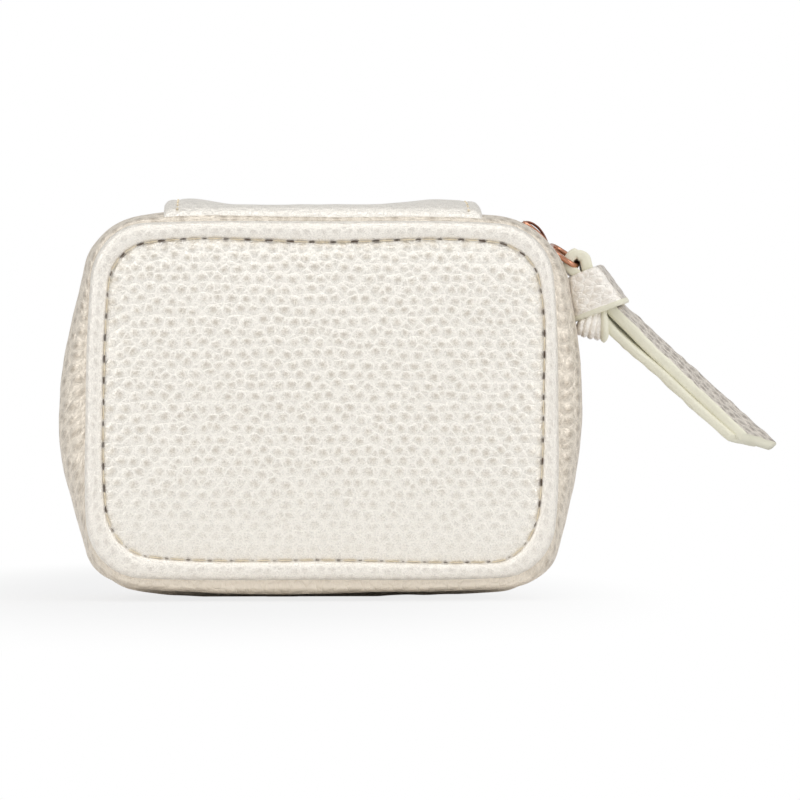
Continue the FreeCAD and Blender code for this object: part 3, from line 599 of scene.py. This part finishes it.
def face_stitches(half, side):
    """Stitches in the groove between the face and its rim: cream thread that dives into holes, drawn as dark
    beads of painted shade, which are smaller along the bottom."""
    closed = np.concatenate([seam_line, seam_line[:1]])
    count = round(run_length(closed) / STITCH_PITCH)
    ring = along(closed, 2 * count + 1)[:-1]
    runs = at_depth(np.roll(ring, -1, 0) - np.roll(ring, 1, 0), 0.0)
    outs = [(0, side, 0)] * count
    thread_at, hole_at = at_depth(ring[0::2], side * STITCH_DEPTH), at_depth(ring[1::2], side * HOLE_DEPTH)
    thread = beads(half + "_face_thread", thread_at, runs[0::2], outs, STITCH_SIZE, THREAD)
    shares = 0.55 + 0.45 * np.clip((ring[1::2, 1] - 9) / 14, 0, 1)
    shares *= 1 + 0.25 * np.sin(7.3 * np.arange(count))
    holes = beads(half + "_face_hole_shades", hole_at, runs[1::2], outs, HOLE_SIZE, HOLE_SHADE, shares)
    for piece in (thread, holes):
        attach(piece, half)


for half, side in HALVES:
    face_stitches(half, side)


# Hinge strip

STRIP_LEFT, STRIP_RIGHT, STRIP_REACH = -34.1, 34.8, 19.6
STRIP_SEAMS = (14.6, 24.6)
STRIP_ZIP_TOP, STRIP_RIM_TOP, STRIP_LIFT = 85.0, 81.4, 1.25
STRIP_THREAD = (0.95, 0.26, 0.24)
STRIP_STITCH = 2.9  # distance of the stitches from the strip's ends
STRIP_TURN = 1.4  # length of the rounding at the strip's edges


def hinge_crest(x, y):
    """Height of the strip's two swellings, which reach its ends."""
    left = 2.25 * bell((x + 29.0) / np.where(x < -29.0, 13.0, 8.0))
    right = 2.3 * bell((x - 28.0) / np.where(x > 28.0, 16.0, 13.0))
    return (left + right) * bell((y - ZIP_Y) / 9.0)


def hinge_height(x, y):
    """Height of the strip's top, which follows the case and has a short crease near its left end."""
    seam = np.where(y < ZIP_Y, *STRIP_SEAMS)
    swell = np.clip((np.abs(y - ZIP_Y) - FULL) / (seam - FULL), 0, 1)
    zip_top = STRIP_ZIP_TOP - 0.0006 * x**2
    rim_top = STRIP_RIM_TOP - 0.0003 * x**2
    crease = 0.35 * bell((x + 23.2 + 0.15 * (y + 17)) / 0.6) * bell((y + 16) / 4.0)
    return rim_top + (zip_top - rim_top) * drawn_in(swell) + STRIP_LIFT + hinge_crest(x, y) - crease


def hinge_strip():
    """Leather strip across the top, from rim to rim, thicker at its turned ends."""
    xs = np.concatenate([STRIP_LEFT + np.array([0, 0.25, 0.7, 1.4]), np.linspace(-31.9, 32.6, 100),
                         STRIP_RIGHT - np.array([1.4, 0.7, 0.25, 0])])
    ys = np.concatenate([-STRIP_REACH + np.array([0, 0.25, 0.7]), np.linspace(-18.2, 18.2, 56),
                         STRIP_REACH - np.array([0.7, 0.25, 0])])
    x, y = np.meshgrid(xs, ys)
    z = hinge_height(x, y)
    z += ripple(np.stack([x, y, z], 2), 6.0, 3) * 0.16
    near_end = np.minimum(x - STRIP_LEFT, STRIP_RIGHT - x)
    edge = np.clip(np.minimum(near_end, STRIP_REACH - np.abs(y)) / STRIP_TURN, 0, 1)
    z -= 0.9 * (1 - edge) ** 2.4
    z -= 0.3 * bell((near_end - STRIP_STITCH) / 0.5)
    thick = 1.1 + 0.4 * edge + hinge_crest(x, y) * np.clip(1 - near_end / 7.0, 0, 1)
    piece = two_sided("hinge_strip", np.stack([x, y, z], 2), np.stack([x, y, z - thick], 2), PEARL_STRIP)
    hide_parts("hinge_panel")
    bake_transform(piece)
    rows = np.arange(-17.5, 17.6, 2.5)
    for name, column in (("left", STRIP_LEFT + STRIP_STITCH), ("right", STRIP_RIGHT - STRIP_STITCH)):
        places = [(column, row, float(hinge_height(np.array(column), np.array(row))) - 0.22) for row in rows]
        thread = beads("hinge_thread_" + name, places, [(0, 1, 0.1)] * len(rows), [(0, 0, 1)] * len(rows),
                       STRIP_THREAD, THREAD)
        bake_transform(thread)


hinge_strip()


# Zip

ZIP_END = 34.2  # half the width of the opening that the hinge strip covers
TEETH_END = 37.0  # where the teeth begin, past the stop
TAPE_INSET, TAPE_HALF = 1.55, 0.3
TAPE_STEPS = (1.5, 3.0, 5.9)
TOOTH_PITCH, TOOTH_INSET, TOOTH_Y = 2.2, 1.3, 0.85
TOOTH_SIZE = (0.72, 0.5, 0.66)
CHANNEL_RADIUS = 12.85  # of the slider's channel, from the corner's centre
LED_FROM, LED_TO, LED_EASE = -5, 95, 25  # bearings of the channel's ends, and its ease
CORNER = np.array([37.5, 69.5])
SLIDER_TURN = math.radians(45.5)
RADIAL = np.array([math.cos(SLIDER_TURN), math.sin(SLIDER_TURN)])
DOWNWARD = np.array([math.sin(SLIDER_TURN), -math.cos(SLIDER_TURN)])


def zip_window(depth, right_end):
    """Slice of the zip line, set in by depth, that the hinge leaves open, from right to left."""
    line = inset(zip_line, depth)
    return slice(np.argmax(line[:, 0] > right_end), len(line) - np.argmax(line[::-1, 0] < -ZIP_END))


def zip_tape(half, side):
    """Woven tape inside the hem, open across the hinge."""
    window = zip_window(TAPE_INSET, ZIP_END)
    rows = []
    for out, steps in ((TAPE_HALF, TAPE_STEPS), (-TAPE_HALF, TAPE_STEPS[::-1])):
        line = inset(zip_line, TAPE_INSET - out)[window]
        rows += [at_depth(line, ZIP_Y + side * d) for d in steps]
    piece = fill_ends(grid_piece(half + "_tape", np.array(rows), TAPE, across=True))
    show(piece, half, "zip_tape", half + "_zip_tape")


def zip_teeth(half, side):
    """A row of rounded metal teeth, half a pitch off the other row, led through the slider."""
    line = inset(zip_line, TOOTH_INSET)[zip_window(TOOTH_INSET, TEETH_END)]
    reach = along(line, 2 * round(run_length(line) / TOOTH_PITCH) + 1) - CORNER
    radius = np.linalg.norm(reach, axis=1)
    angle = np.degrees(np.arctan2(reach[:, 1], reach[:, 0]))
    led = np.clip(np.minimum(angle - LED_FROM, LED_TO - angle) / LED_EASE, 0, 1)
    spots = CORNER + reach * (1 + led * (np.minimum(CHANNEL_RADIUS / radius, 1) - 1))[:, None]
    runs = np.gradient(spots, axis=0)
    own = slice(0 if side > 0 else 1, None, 2)
    places = at_depth(spots[own], ZIP_Y + side * TOOTH_Y)
    outs = [(-z, 0.0, x) for x, z in runs[own]]
    teeth = beads(half + "_teeth", places, [(0.0, 1.0, 0.0)] * len(places), outs, TOOTH_SIZE, ROSE)
    show(teeth, half, "rose_metal", half + "_zip_teeth")


for make in (zip_tape, zip_teeth):
    for half, side in HALVES:
        make(half, side)

# The slider's plates: name, distance from the corner's centre, thickness and half width.
PLATES = (("upper", 15.2, 1.5, 2.1), ("lower", 10.7, 0.9, 1.8))
PLATE_START, PLATE_STOP, PLATE_MIDDLE, PLATE_REACH = -0.28, 0.17, -0.055, 0.235
# The ends of the post between the plates, as arguments of slider_point.
POST = ((10.6, -3.4), (13.9, -3.6))
# The bridge, as bearings in degrees and distances from the corner's centre.
BRIDGE = ((62.5, 14.6), (61.3, 15.35), (59.0, 16.0), (55.0, 16.42), (50.0, 16.52), (46.0, 16.42),
          (41.0, 16.15), (36.0, 15.78), (33.0, 15.4), (31.5, 14.4))


def slider_point(out, down):
    """Point in the zip's plane, out from the corner's centre through the slider and down along the zip."""
    x, z = CORNER + RADIAL * out + DOWNWARD * down
    return (x, ZIP_Y, z)


def bridge_point(bearing, distance):
    a = math.radians(bearing)
    return (CORNER[0] + distance * math.cos(a), ZIP_Y, CORNER[1] + distance * math.sin(a))


def slider_plate(name, mid, thick, wide):
    """Curved plate with rounded ends."""
    a, t = np.meshgrid(circle(20), np.linspace(PLATE_START, PLATE_STOP, 25))
    share = np.sqrt(np.maximum(0.05, 1 - (np.abs(t - PLATE_MIDDLE) / PLATE_REACH) ** 6))
    out = (mid + thick / 2 * blunted(np.cos(a), 0.5))[..., None]
    spots = CORNER + out * (np.cos(t)[..., None] * RADIAL + np.sin(t)[..., None] * DOWNWARD)
    y = ZIP_Y + wide * share * blunted(np.sin(a), 0.5)
    points = np.stack([spots[..., 0], y, spots[..., 1]], 2)
    return fill_ends(grid_piece("slider_" + name, points, ROSE, around=True))


def zip_slider():
    """Slider: two curved plates round the teeth, joined by a post, with a bridge for the ring."""
    parts = [slider_plate(*plate) for plate in PLATES]
    path = [bridge_point(*place) for place in BRIDGE]
    # The bridge is a darker copy of the rose gold: painted shade.
    parts.append(sweep("slider_bridge", smooth_path(path, 60), ellipse(0.27, 0.8, 16), ROSE_PAINTED_SHADE))
    post = along(np.array([slider_point(*end) for end in POST]), 4)
    parts.append(sweep("slider_post", post, ellipse(0.8, 0.5, 12), ROSE))
    return joined("slider", parts)


show(zip_slider(), "zip_slider", "rose_metal", "zip_slider")

RING_EYE = np.array([51.194, -5.0, 77.601])
PULL_BAR = np.array([56.897, -5.0, 73.898])
RING_LENGTH, RING_HALF, RING_CORNER, RING_WIRE = 6.8, 5.1, 2.6, 0.6
RING_ROLL = math.radians(14.0)


def pull_ring():
    """Wire ring, a rounded oblong, rolled a little towards the camera."""
    run = (PULL_BAR - RING_EYE) / np.linalg.norm(PULL_BAR - RING_EYE)
    up = np.array([-run[2], 0.0, run[0]])
    wide = np.array([0.0, math.cos(RING_ROLL), 0.0]) + up * math.sin(RING_ROLL)
    far, near, half = RING_LENGTH - RING_CORNER, RING_CORNER, RING_HALF - RING_CORNER
    loop = []
    for cx, cy, start in ((far, half, 0), (near, half, 90), (near, -half, 180), (far, -half, 270)):
        for t in np.radians(start + np.linspace(0, 90, 9)):
            loop.append((cx + RING_CORNER * math.cos(t), cy + RING_CORNER * math.sin(t)))
    closed = along(np.array(loop + loop[:1]), 73)[:-1]
    path = [RING_EYE + run * a + wide * b for a, b in closed]
    return sweep("ring", path, ellipse(RING_WIRE, RING_WIRE, 12), ROSE, width_axis=up, closed=True)


show(pull_ring(), "pull_ring", "rose_metal", "pull_ring")


# Leather pull

TAIL, TAIL_UP = np.array([0.728, -0.686]), np.array([0.686, 0.728])
KNOT, KNOT_UP = np.array([0.469, -0.883]), np.array([0.883, 0.469])
# The tails' centrelines, as distances along the tail from the ring's bar and down across it.
UPPER_TAIL = ((56.4, 0.9), (46, 1.1), (36, 1.25), (26, 1.3), (18, 1.2), (12.6, 1.2))
LOWER_TAIL = ((11, 3.9), (16, 4.5), (22, 4.3), (30, 3.7), (40, 3.55), (48, 3.2), (54.0, 2.9))
LOOP_RADIUS = 1.97
STRAP_HALF, STRAP_ROUND, STRAP_SLANT = 4.25, 0.45, 3.85
STRAP_THICK = ((0.44, 0.56), (1.32, 1.05))  # share of the strip's length, and half thickness
STRAP_ROLL = ((3, 12, 22, 55), (4, 19, 24, 29))  # distance from the bar, and roll in degrees
STRAP_ACROSS, STRAP_EDGE = 15, 5  # points across the strip and down its edges


def strap_path():
    """Centreline of the folded strip in x, z, from the upper tail's tip over the ring to the lower tip."""
    bar = PULL_BAR[[0, 2]]
    upper = [bar + TAIL * s - TAIL_UP * d for s, d in UPPER_TAIL]
    upper += [bar + KNOT_UP * 1.45 + KNOT * 6.2, bar + KNOT_UP * 1.35 + KNOT * 2.6]
    loop = [bar + (KNOT_UP * math.cos(t) - KNOT * math.sin(t)) * LOOP_RADIUS
            for t in np.linspace(0, math.pi, 9)]
    lower = [bar - KNOT_UP * 1.1 + KNOT * 2.6, bar - KNOT_UP * 1.2 + KNOT * 6.0]
    lower += [bar + TAIL * s - TAIL_UP * d for s, d in LOWER_TAIL]
    return smooth_path(upper + loop + lower, 300)


def pull_strap():
    """One strip folded over the ring: grained outside, painted edges, tails cut on a slant."""
    path = strap_path()
    run = np.gradient(path, axis=0)
    run /= np.linalg.norm(run, axis=1)[:, None]
    out = np.stack([run[:, 1], -run[:, 0]], 1)
    step = np.linspace(0, 1, len(path))
    half_thick = np.interp(step, *STRAP_THICK)
    near_bar = np.linalg.norm(path - PULL_BAR[[0, 2]], axis=1)
    roll = np.radians(np.interp(near_bar, *STRAP_ROLL))
    slant = np.clip((near_bar - 40) / 16, 0, 1) * STRAP_SLANT
    across, down = np.linspace(-1, 1, STRAP_ACROSS), np.linspace(0.66, -0.66, STRAP_EDGE)
    wide_at = np.concatenate([across, np.ones(STRAP_EDGE), across[::-1], -np.ones(STRAP_EDGE)])
    thick_at = np.concatenate([np.ones(STRAP_ACROSS), down, -np.ones(STRAP_ACROSS), down[::-1]])
    grained = thick_at == 1.0
    sign = np.where(step < 0.5, 1.0, -1.0)[:, None]
    lift, side = np.sin(roll)[:, None] * sign, np.cos(roll)[:, None]
    wide = wide_at * (STRAP_HALF - STRAP_ROUND * np.maximum(0.0, np.abs(thick_at) - 0.6) / 0.4)
    high = thick_at * half_thick[:, None]
    rise, cut = wide * lift + high * side, wide / STRAP_HALF * slant[:, None] * sign
    spots = path[:, None] + out[:, None] * rise[..., None] - run[:, None] * cut[..., None]
    points = np.stack([spots[..., 0], ZIP_Y + wide * side - high * lift, spots[..., 1]], 2)
    wobble = ripple(points, 2.3, 21) * 0.24 * np.clip((near_bar - 5) / 8, 0, 1)[:, None]
    points[..., [0, 2]] += np.where(grained, wobble, 0.0)[..., None] * out[:, None]
    piece = fill_ends(grid_piece("strap", points, PEARL_STRAP_SHADED, around=True))
    piece.data.materials.append(EDGE)
    for face in piece.data.polygons:
        columns = [v % len(thick_at) for v in face.vertices]
        if len(columns) > 4 or not grained[columns].all():
            face.material_index = 1
    shade_smooth(piece.data)
    return piece


# Corners of the band's front in x, z, from the top left clockwise.
BAND_CORNERS = np.array([(53.9, 70.4), (63.6, 74.4), (69.5, 65.8), (55.3, 60.6)])
BAND_TURN, BAND_DEEP, BAND_WALL, BAND_POWER = math.radians(15.0), 5.5, 1.5, 0.4
BAND_Y, BAND_LEAN = -5.5, 1.2
BAND_ROWS, BAND_AROUND = 26, 72
BAND_EDGE_ROWS, BAND_RIGHT = 4, 7
TOWARD = np.array([0.0, -1.0, 0.0])


def knot_band():
    """Band of the knot: a short flared sleeve of leather round both tails, turned to show its right side,
    which takes the darker strap leather as painted shade.
    """
    top_left, top_right, low_right, low_left = BAND_CORNERS
    steps = np.linspace(0, 1, BAND_ROWS)
    shell = []
    for inner in (False, True):
        for t in (steps[::-1] if inner else steps):
            left, right = top_left + (low_left - top_left) * t, top_right + (low_right - top_right) * t
            middle, across = (left + right) / 2, (right - left) / 2
            half = np.linalg.norm(across)
            wide = np.array([across[0], 0.0, across[1]]) / half
            wall = BAND_WALL if inner else 0.35 * max(0.0, abs(2 * t - 1) - 0.9) / 0.1
            along_wide = wide * math.cos(BAND_TURN) + TOWARD * math.sin(BAND_TURN)
            along_deep = wide * math.sin(BAND_TURN) - TOWARD * math.cos(BAND_TURN)
            reach = (half - BAND_DEEP * math.sin(BAND_TURN)) / math.cos(BAND_TURN) - wall
            centre = np.array([middle[0], BAND_Y - BAND_LEAN * (t - 0.5), middle[1]])
            shell.append([centre + along_wide * reach * blunted(math.cos(a), BAND_POWER)
                          + along_deep * (BAND_DEEP - wall) * blunted(math.sin(a), BAND_POWER)
                          for a in circle(BAND_AROUND)])
    points = np.array(shell)
    wave = ripple(points, 3.4, 31) * 0.14 + ripple(points * np.array([0.45, 0.8, 1.5]), 1.9, 33) * 0.2
    points[:BAND_ROWS] += wave[:BAND_ROWS, :, None] * np.array([0.5, -0.7, 0.5])
    piece = grid_piece("knot_band", points, PEARL_BAND_LIT, around=True, across=True)
    piece.data.materials.append(EDGE)
    piece.data.materials.append(PEARL_STRAP_SHADED)
    for face in piece.data.polygons:
        lines = {v // BAND_AROUND for v in face.vertices}
        turns = {v % BAND_AROUND for v in face.vertices}
        if min(lines) >= BAND_ROWS - BAND_EDGE_ROWS or lines == {0, 2 * BAND_ROWS - 1}:
            face.material_index = 1
        # Faces on the right side take the darker strap leather: painted shade.
        elif all(t <= BAND_RIGHT or t >= BAND_AROUND - BAND_RIGHT for t in turns):
            face.material_index = 2
    return piece


# The knot's pleats: top, middle and tip, half width, half depth and material.
PLEATS = (((58.9, -7.4, 63.0), (57.6, -7.8, 60.4), (57.2, -7.6, 58.0), 1.05, 2.4, PEARL_BAND_LIT),
          ((59.9, -7.8, 64.0), (58.7, -8.2, 60.2), (58.2, -7.9, 57.5), 1.08, 2.4, PEARL_BAND_LIT),
          ((60.9, -7.9, 64.5), (60.0, -8.3, 60.0), (59.6, -8.1, 57.1), 1.1, 2.4, PEARL_BAND_LIT),
          ((61.6, -7.7, 65.0), (61.2, -8.0, 60.0), (61.1, -7.9, 56.8), 1.1, 2.4, PEARL_BAND_LIT),
          ((62.0, -8.0, 65.2), (62.6, -8.6, 60.2), (62.5, -8.4, 56.3), 0.95, 2.6, EDGE))
PLEAT_STEPS = 24


def knot_fold():
    """Tucked end of the strip under the band, gathered into pleats, with its painted edge at the right."""
    parts = []
    for k, (top, middle, tip, thick, deep, material) in enumerate(PLEATS):
        rows = []
        for place, t in zip(smooth_path([top, middle, tip], PLEAT_STEPS), np.linspace(0, 1, PLEAT_STEPS)):
            blunt = math.sqrt(max(0.02, 1 - max(0.0, (t - 0.7) / 0.3) ** 2.6)) * (0.75 + 0.25 * min(1, t * 2))
            rows.append([place + blunt * np.array([thick * blunted(math.cos(a), 0.8),
                                                   deep * blunted(math.sin(a), 0.7), 0.0])
                         for a in circle(24)])
        points = np.array(rows)
        points += (ripple(points, 2.2, 41 + k) * 0.12)[..., None]
        part = fill_ends(grid_piece(f"pleat_{k}", points, material, around=True))
        shade_smooth(part.data)
        parts.append(part)
    return joined("knot_fold", parts)


show(pull_strap(), "leather_pull", "pearl_leather", "pull_strap")
show(knot_band(), "leather_pull", "pearl_leather", "pull_knot_band")
show(knot_fold(), "leather_pull", "pearl_leather", "pull_knot_fold")

for name in ("base_zip_stop", "lid_zip_stop"):
    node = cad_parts[name]
    node.data.materials.clear()
    node.data.materials.append(ROSE)


# Inside

LINING_SEAM = {"lid": 14.9, "base": 24.9}
LINING_OUT, LINING_IN = 2.1, 2.7
CLOTH_INSET, CLOTH_BACK, CLOTH_FRONT, CLOTH_PUFF = 3.6, 19.9, 18.3, 0.65
ROLLS, ROLL_LENGTH, ROLL_RADIUS, ROLL_PITCH = 5, 45.0, 6.15, 13.0
ROLL_X, ROLL_Y, ROLL_Z = -4, 11.35, 17.25
DIVIDER_LOW, DIVIDER_HIGH = (-9, 2.55, 9.75), (-7, 17.55, 76.75)
POCKET_HALF, POCKET_LOW, POCKET_TOP, POCKET_Y = 39, 12, 49.5, -17.5
POCKET_LIFT, POCKET_BELLY = 1.3, 4.2
MOUTH_Z, MOUTH_HIGH, MOUTH_DEEP = 49.3, 2.6, 0.75


def lining_wall(half, side):
    """Cloth on the inside of the side wall."""
    seam = LINING_SEAM[half]
    steps = np.linspace(3.3, seam, 16)
    rows = []
    for depth, order in ((LINING_OUT, steps), (LINING_IN, steps[::-1])):
        rows += [at_depth(inset(side_line(d, seam + 0.3, side), depth), ZIP_Y + side * d) for d in order]
    points = np.array(rows)
    inner = points[len(steps):]
    inner[..., [0, 2]] += (ripple(inner, 7.0, 51 + side) * 0.12)[..., None]
    return grid_piece(half + "_lining", points, LINING, around=True, across=True)


def lining_floor(half, side):
    """Cloth floor, lightly padded, with its board behind."""
    shares = np.concatenate([np.linspace(1, 0.94, 7), np.linspace(0.9, 0.03, 30)])
    lift = CLOTH_FRONT - CLOTH_PUFF * (1 - shares**18)
    points = dish(inset(rim_line, CLOTH_INSET), side * CLOTH_BACK, shares, side * lift)
    points[1:, :, 1] += ripple(points[1:], 12.0, 55 + side) * 0.08
    return fill_ends(grid_piece(half + "_floor_cloth", points, LINING, around=True))


def ring_roll(index):
    """Padded roll, gathered at its ends."""
    z = ROLL_Z + ROLL_PITCH * index
    a, t = np.meshgrid(circle(48), np.linspace(0, 1, 40))
    near = np.minimum(t, 1 - t) * ROLL_LENGTH
    radius = ROLL_RADIUS * np.sqrt(1 - np.maximum(0.0, 1 - near / 3.4) ** 2.6) + 0.02
    radius += 0.14 * np.sin(a * 16) * np.maximum(0.0, 1 - near / 5.0)
    points = np.stack([ROLL_X + ROLL_LENGTH * t, ROLL_Y + radius * np.sin(a), z + radius * np.cos(a)], 2)
    wave = ripple(points, 8.0, 61 + index) * 0.16
    away = points - np.array([0, ROLL_Y, z])
    away[..., 0] = 0
    away /= np.maximum(np.linalg.norm(away, axis=2), 0.1)[..., None]
    points += away * np.minimum(wave, 0.02)[..., None]
    return fill_ends(grid_piece(f"roll_{index + 1}", points, LINING, around=True))


def soft_box(name, low, high, soft, material, seed):
    """Padded board: a box with round edges and a slightly uneven cloth cover."""
    low, high = np.array(low), np.array(high)
    middle, half = (low + high) / 2, (high - low) / 2
    work = bmesh.new()
    bmesh.ops.create_cube(work, size=2.0)
    bmesh.ops.subdivide_edges(work, edges=work.edges[:], cuts=15, use_grid_fill=True)
    for vert in work.verts:
        c = np.array(vert.co)
        core = np.clip(c * half, soft - half, half - soft)
        rest = c * half - core
        size = np.linalg.norm(rest)
        spot = middle + core + (rest / size * min(size, soft) if size > 1e-9 else 0)
        lift = noise.noise(Vector(spot) / 6.0 + Vector((seed, 0, 0))) * 0.12 - 0.12
        vert.co = Vector(spot + c / np.linalg.norm(c) * lift) * MM
    return finished(name, mesh_of(name, work), material)


def gathers(x):
    """Folds across the pocket, from -1 to 1."""
    return np.sin(x * 1.9 + 0.6 * np.sin(x * 0.7))


def pocket_ease(x):
    """0 at the pocket's sewn sides, and 1 from 5 mm in."""
    return np.clip((POCKET_HALF - np.abs(x)) / 5.0, 0, 1) ** 0.6


def lid_pocket():
    """Cloth pocket on the lid's floor, gathered by its elastic mouth."""
    x, z = np.meshgrid(np.linspace(-POCKET_HALF, POCKET_HALF, 90), np.linspace(POCKET_LOW, POCKET_TOP, 44))
    rise = np.clip((z - POCKET_LOW) / (POCKET_TOP - POCKET_LOW), 0, 1)
    ease = pocket_ease(x)
    belly = POCKET_LIFT + POCKET_BELLY * np.sin(np.clip(rise * 1.25, 0, 1) * math.pi / 2) ** 0.7 * ease
    y = POCKET_Y + belly + 0.35 * gathers(x) * rise**3 * ease
    return two_sided("pocket_cloth", np.stack([x, y, z], 2), np.stack([x, y - 0.55, z], 2), LINING)


def pocket_elastic():
    """Ruffled elastic casing at the pocket's mouth."""
    xs = np.linspace(-POCKET_HALF, POCKET_HALF, 140)
    ruffle = 0.28 * gathers(xs)
    middle = POCKET_Y + POCKET_LIFT + POCKET_BELLY * pocket_ease(xs) - 0.3
    rows = [np.stack([xs, middle + (MOUTH_DEEP + ruffle * 0.6) * math.cos(a) + 0.3 * ruffle,
                      MOUTH_Z + MOUTH_HIGH * math.sin(a) + 0.2 * ruffle], 1)
            for a in circle(20)]
    return fill_ends(grid_piece("pocket_mouth", np.array(rows), LINING, across=True))


def hinge_cloth():
    """Cloth over the inside of the hinge."""
    x, y = np.meshgrid(np.linspace(-33, 33, 60), np.linspace(-9, -1, 14))
    z = 81.0 - 0.0006 * x**2 - 0.5 * np.cos((y - ZIP_Y) / 4.0 * math.pi / 2)
    z += ripple(np.stack([x, y, z], 2), 5.0, 71) * 0.12
    return two_sided("hinge_cloth", np.stack([x, y, z + 0.4], 2), np.stack([x, y, z - 0.4], 2), LINING)


for half, side in HALVES:
    show(lining_wall(half, side), half, "lining", half + "_lining_wall")
    show(lining_floor(half, side), half, "lining", half + "_lining_floor", half + "_panel_board")
for index in range(ROLLS):
    show(ring_roll(index), "base", "lining", f"ring_roll_{index + 1}")
show(soft_box("divider", DIVIDER_LOW, DIVIDER_HIGH, 0.8, LINING, 3.0), "base", "lining", "base_divider")
pocket = show(lid_pocket(), "lid", "lining", "lid_pocket")
mouth = show(pocket_elastic(), "lid", "elastic", "pocket_elastic")
inner_hinge = hinge_cloth()
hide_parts("hinge_lining")
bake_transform(inner_hinge)


# Camera, light and floor, in metres

WHITE = (1, 1, 1, 1)
FLOOR_WHITE = (0.93, 0.93, 0.935, 1)
SHADOW_SCALE, SHADOW_SHIFT = (1.5, 0.55, 1.0), (0.03, -0.033, 0.0)
LAMP_TARGET = Vector((0, 0, 0.05))
CAMERA_PLACE, CAMERA_TARGET = Vector((-17.4, -655.0, 25.0)) * MM, Vector((17.66, -5.0, 43.7)) * MM


def look_at(item, place, target):
    """Puts a camera or lamp at a place, turned to a target."""
    item.location = place
    item.rotation_euler = (target - Vector(place)).to_track_quat("-Z", "Y").to_euler()


def lamp(name, place, size, watts):
    """Soft rectangular lamp, turned to the object."""
    data = bpy.data.lights.new(name, "AREA")
    data.shape = "RECTANGLE"
    data.size, data.size_y = size
    data.energy = watts
    light = bpy.data.objects.new(name, data)
    bpy.context.scene.collection.objects.link(light)
    look_at(light, place, LAMP_TARGET)


def studio_world():
    """Even light, a little stronger from the front, and white to the camera."""
    world = bpy.data.worlds.new("studio")
    world.use_nodes = True
    nodes = Nodes(world.node_tree)
    toward = nodes.add("SeparateXYZ", {0: nodes.add("TexCoord").outputs["Generated"]}).outputs["Y"]
    room = nodes.tree.nodes["Background"]
    nodes.put(room.inputs["Color"], WHITE)
    nodes.put(room.inputs["Strength"], nodes.smooth_range(toward, -0.95, -0.1, 0.63, 0.6))
    white = nodes.add("Background", {"Color": WHITE})
    seen = nodes.add("LightPath").outputs["Is Camera Ray"]
    pick = nodes.add("MixShader", {0: seen, 1: room.outputs[0], 2: white.outputs[0]})
    nodes.put(nodes.tree.nodes["World Output"].inputs["Surface"], pick.outputs[0])
    return world


def floor_material():
    """Matt white that keeps the shadow by the object and turns to plain white away from it for the camera;
    for the camera it also shines a little dimmer near the object, a painted shadow.
    """
    s = Shader("white_floor")
    matt = s.add("BsdfDiffuse", {"Color": FLOOR_WHITE})
    place = s.add("TexCoord").outputs["Object"]
    flat = s.add("VectorMath", {0: place, 1: SHADOW_SCALE, 2: SHADOW_SHIFT}, operation="MULTIPLY_ADD")
    away = s.add("VectorMath", {0: flat.outputs[0]}, operation="LENGTH").outputs["Value"]
    seen = s.add("LightPath").outputs["Is Camera Ray"]
    share = s.math("MULTIPLY", s.smooth_range(away, 0.06, 0.16, 0.88, 1.0), seen)
    # Dimmer near the object: a painted shadow on the floor.
    glow_with_painted_shadow = s.add("Emission", {"Color": WHITE, "Strength": s.smooth_range(away, 0.05, 0.16, 0.905, 1.0)})
    mixed = s.add("MixShader", {0: share, 1: matt.outputs[0], 2: glow_with_painted_shadow.outputs[0]})
    s.put(s.tree.nodes["Material Output"].inputs["Surface"], mixed.outputs[0])
    return s.material


camera = bpy.data.objects.new("camera", bpy.data.cameras.new("camera"))
bpy.context.scene.collection.objects.link(camera)
look_at(camera, CAMERA_PLACE, CAMERA_TARGET)
camera.data.sensor_width = 36
camera.data.lens = 132.7
bpy.context.scene.camera = camera
bpy.context.scene.view_settings.view_transform = "Standard"

lamp("top", (0.0, -0.35, 0.85), (1.0, 0.7), 2.8)
lamp("left", (-0.8, -0.5, 0.35), (0.5, 0.6), 1.8)
lamp("right", (0.8, -0.5, 0.35), (0.5, 0.6), 1.6)
bpy.context.scene.world = studio_world()

bpy.ops.mesh.primitive_circle_add(vertices=96, radius=4.0, fill_type="NGON")
floor = bpy.context.object
floor.name = "floor"
floor.data.materials.append(floor_material())
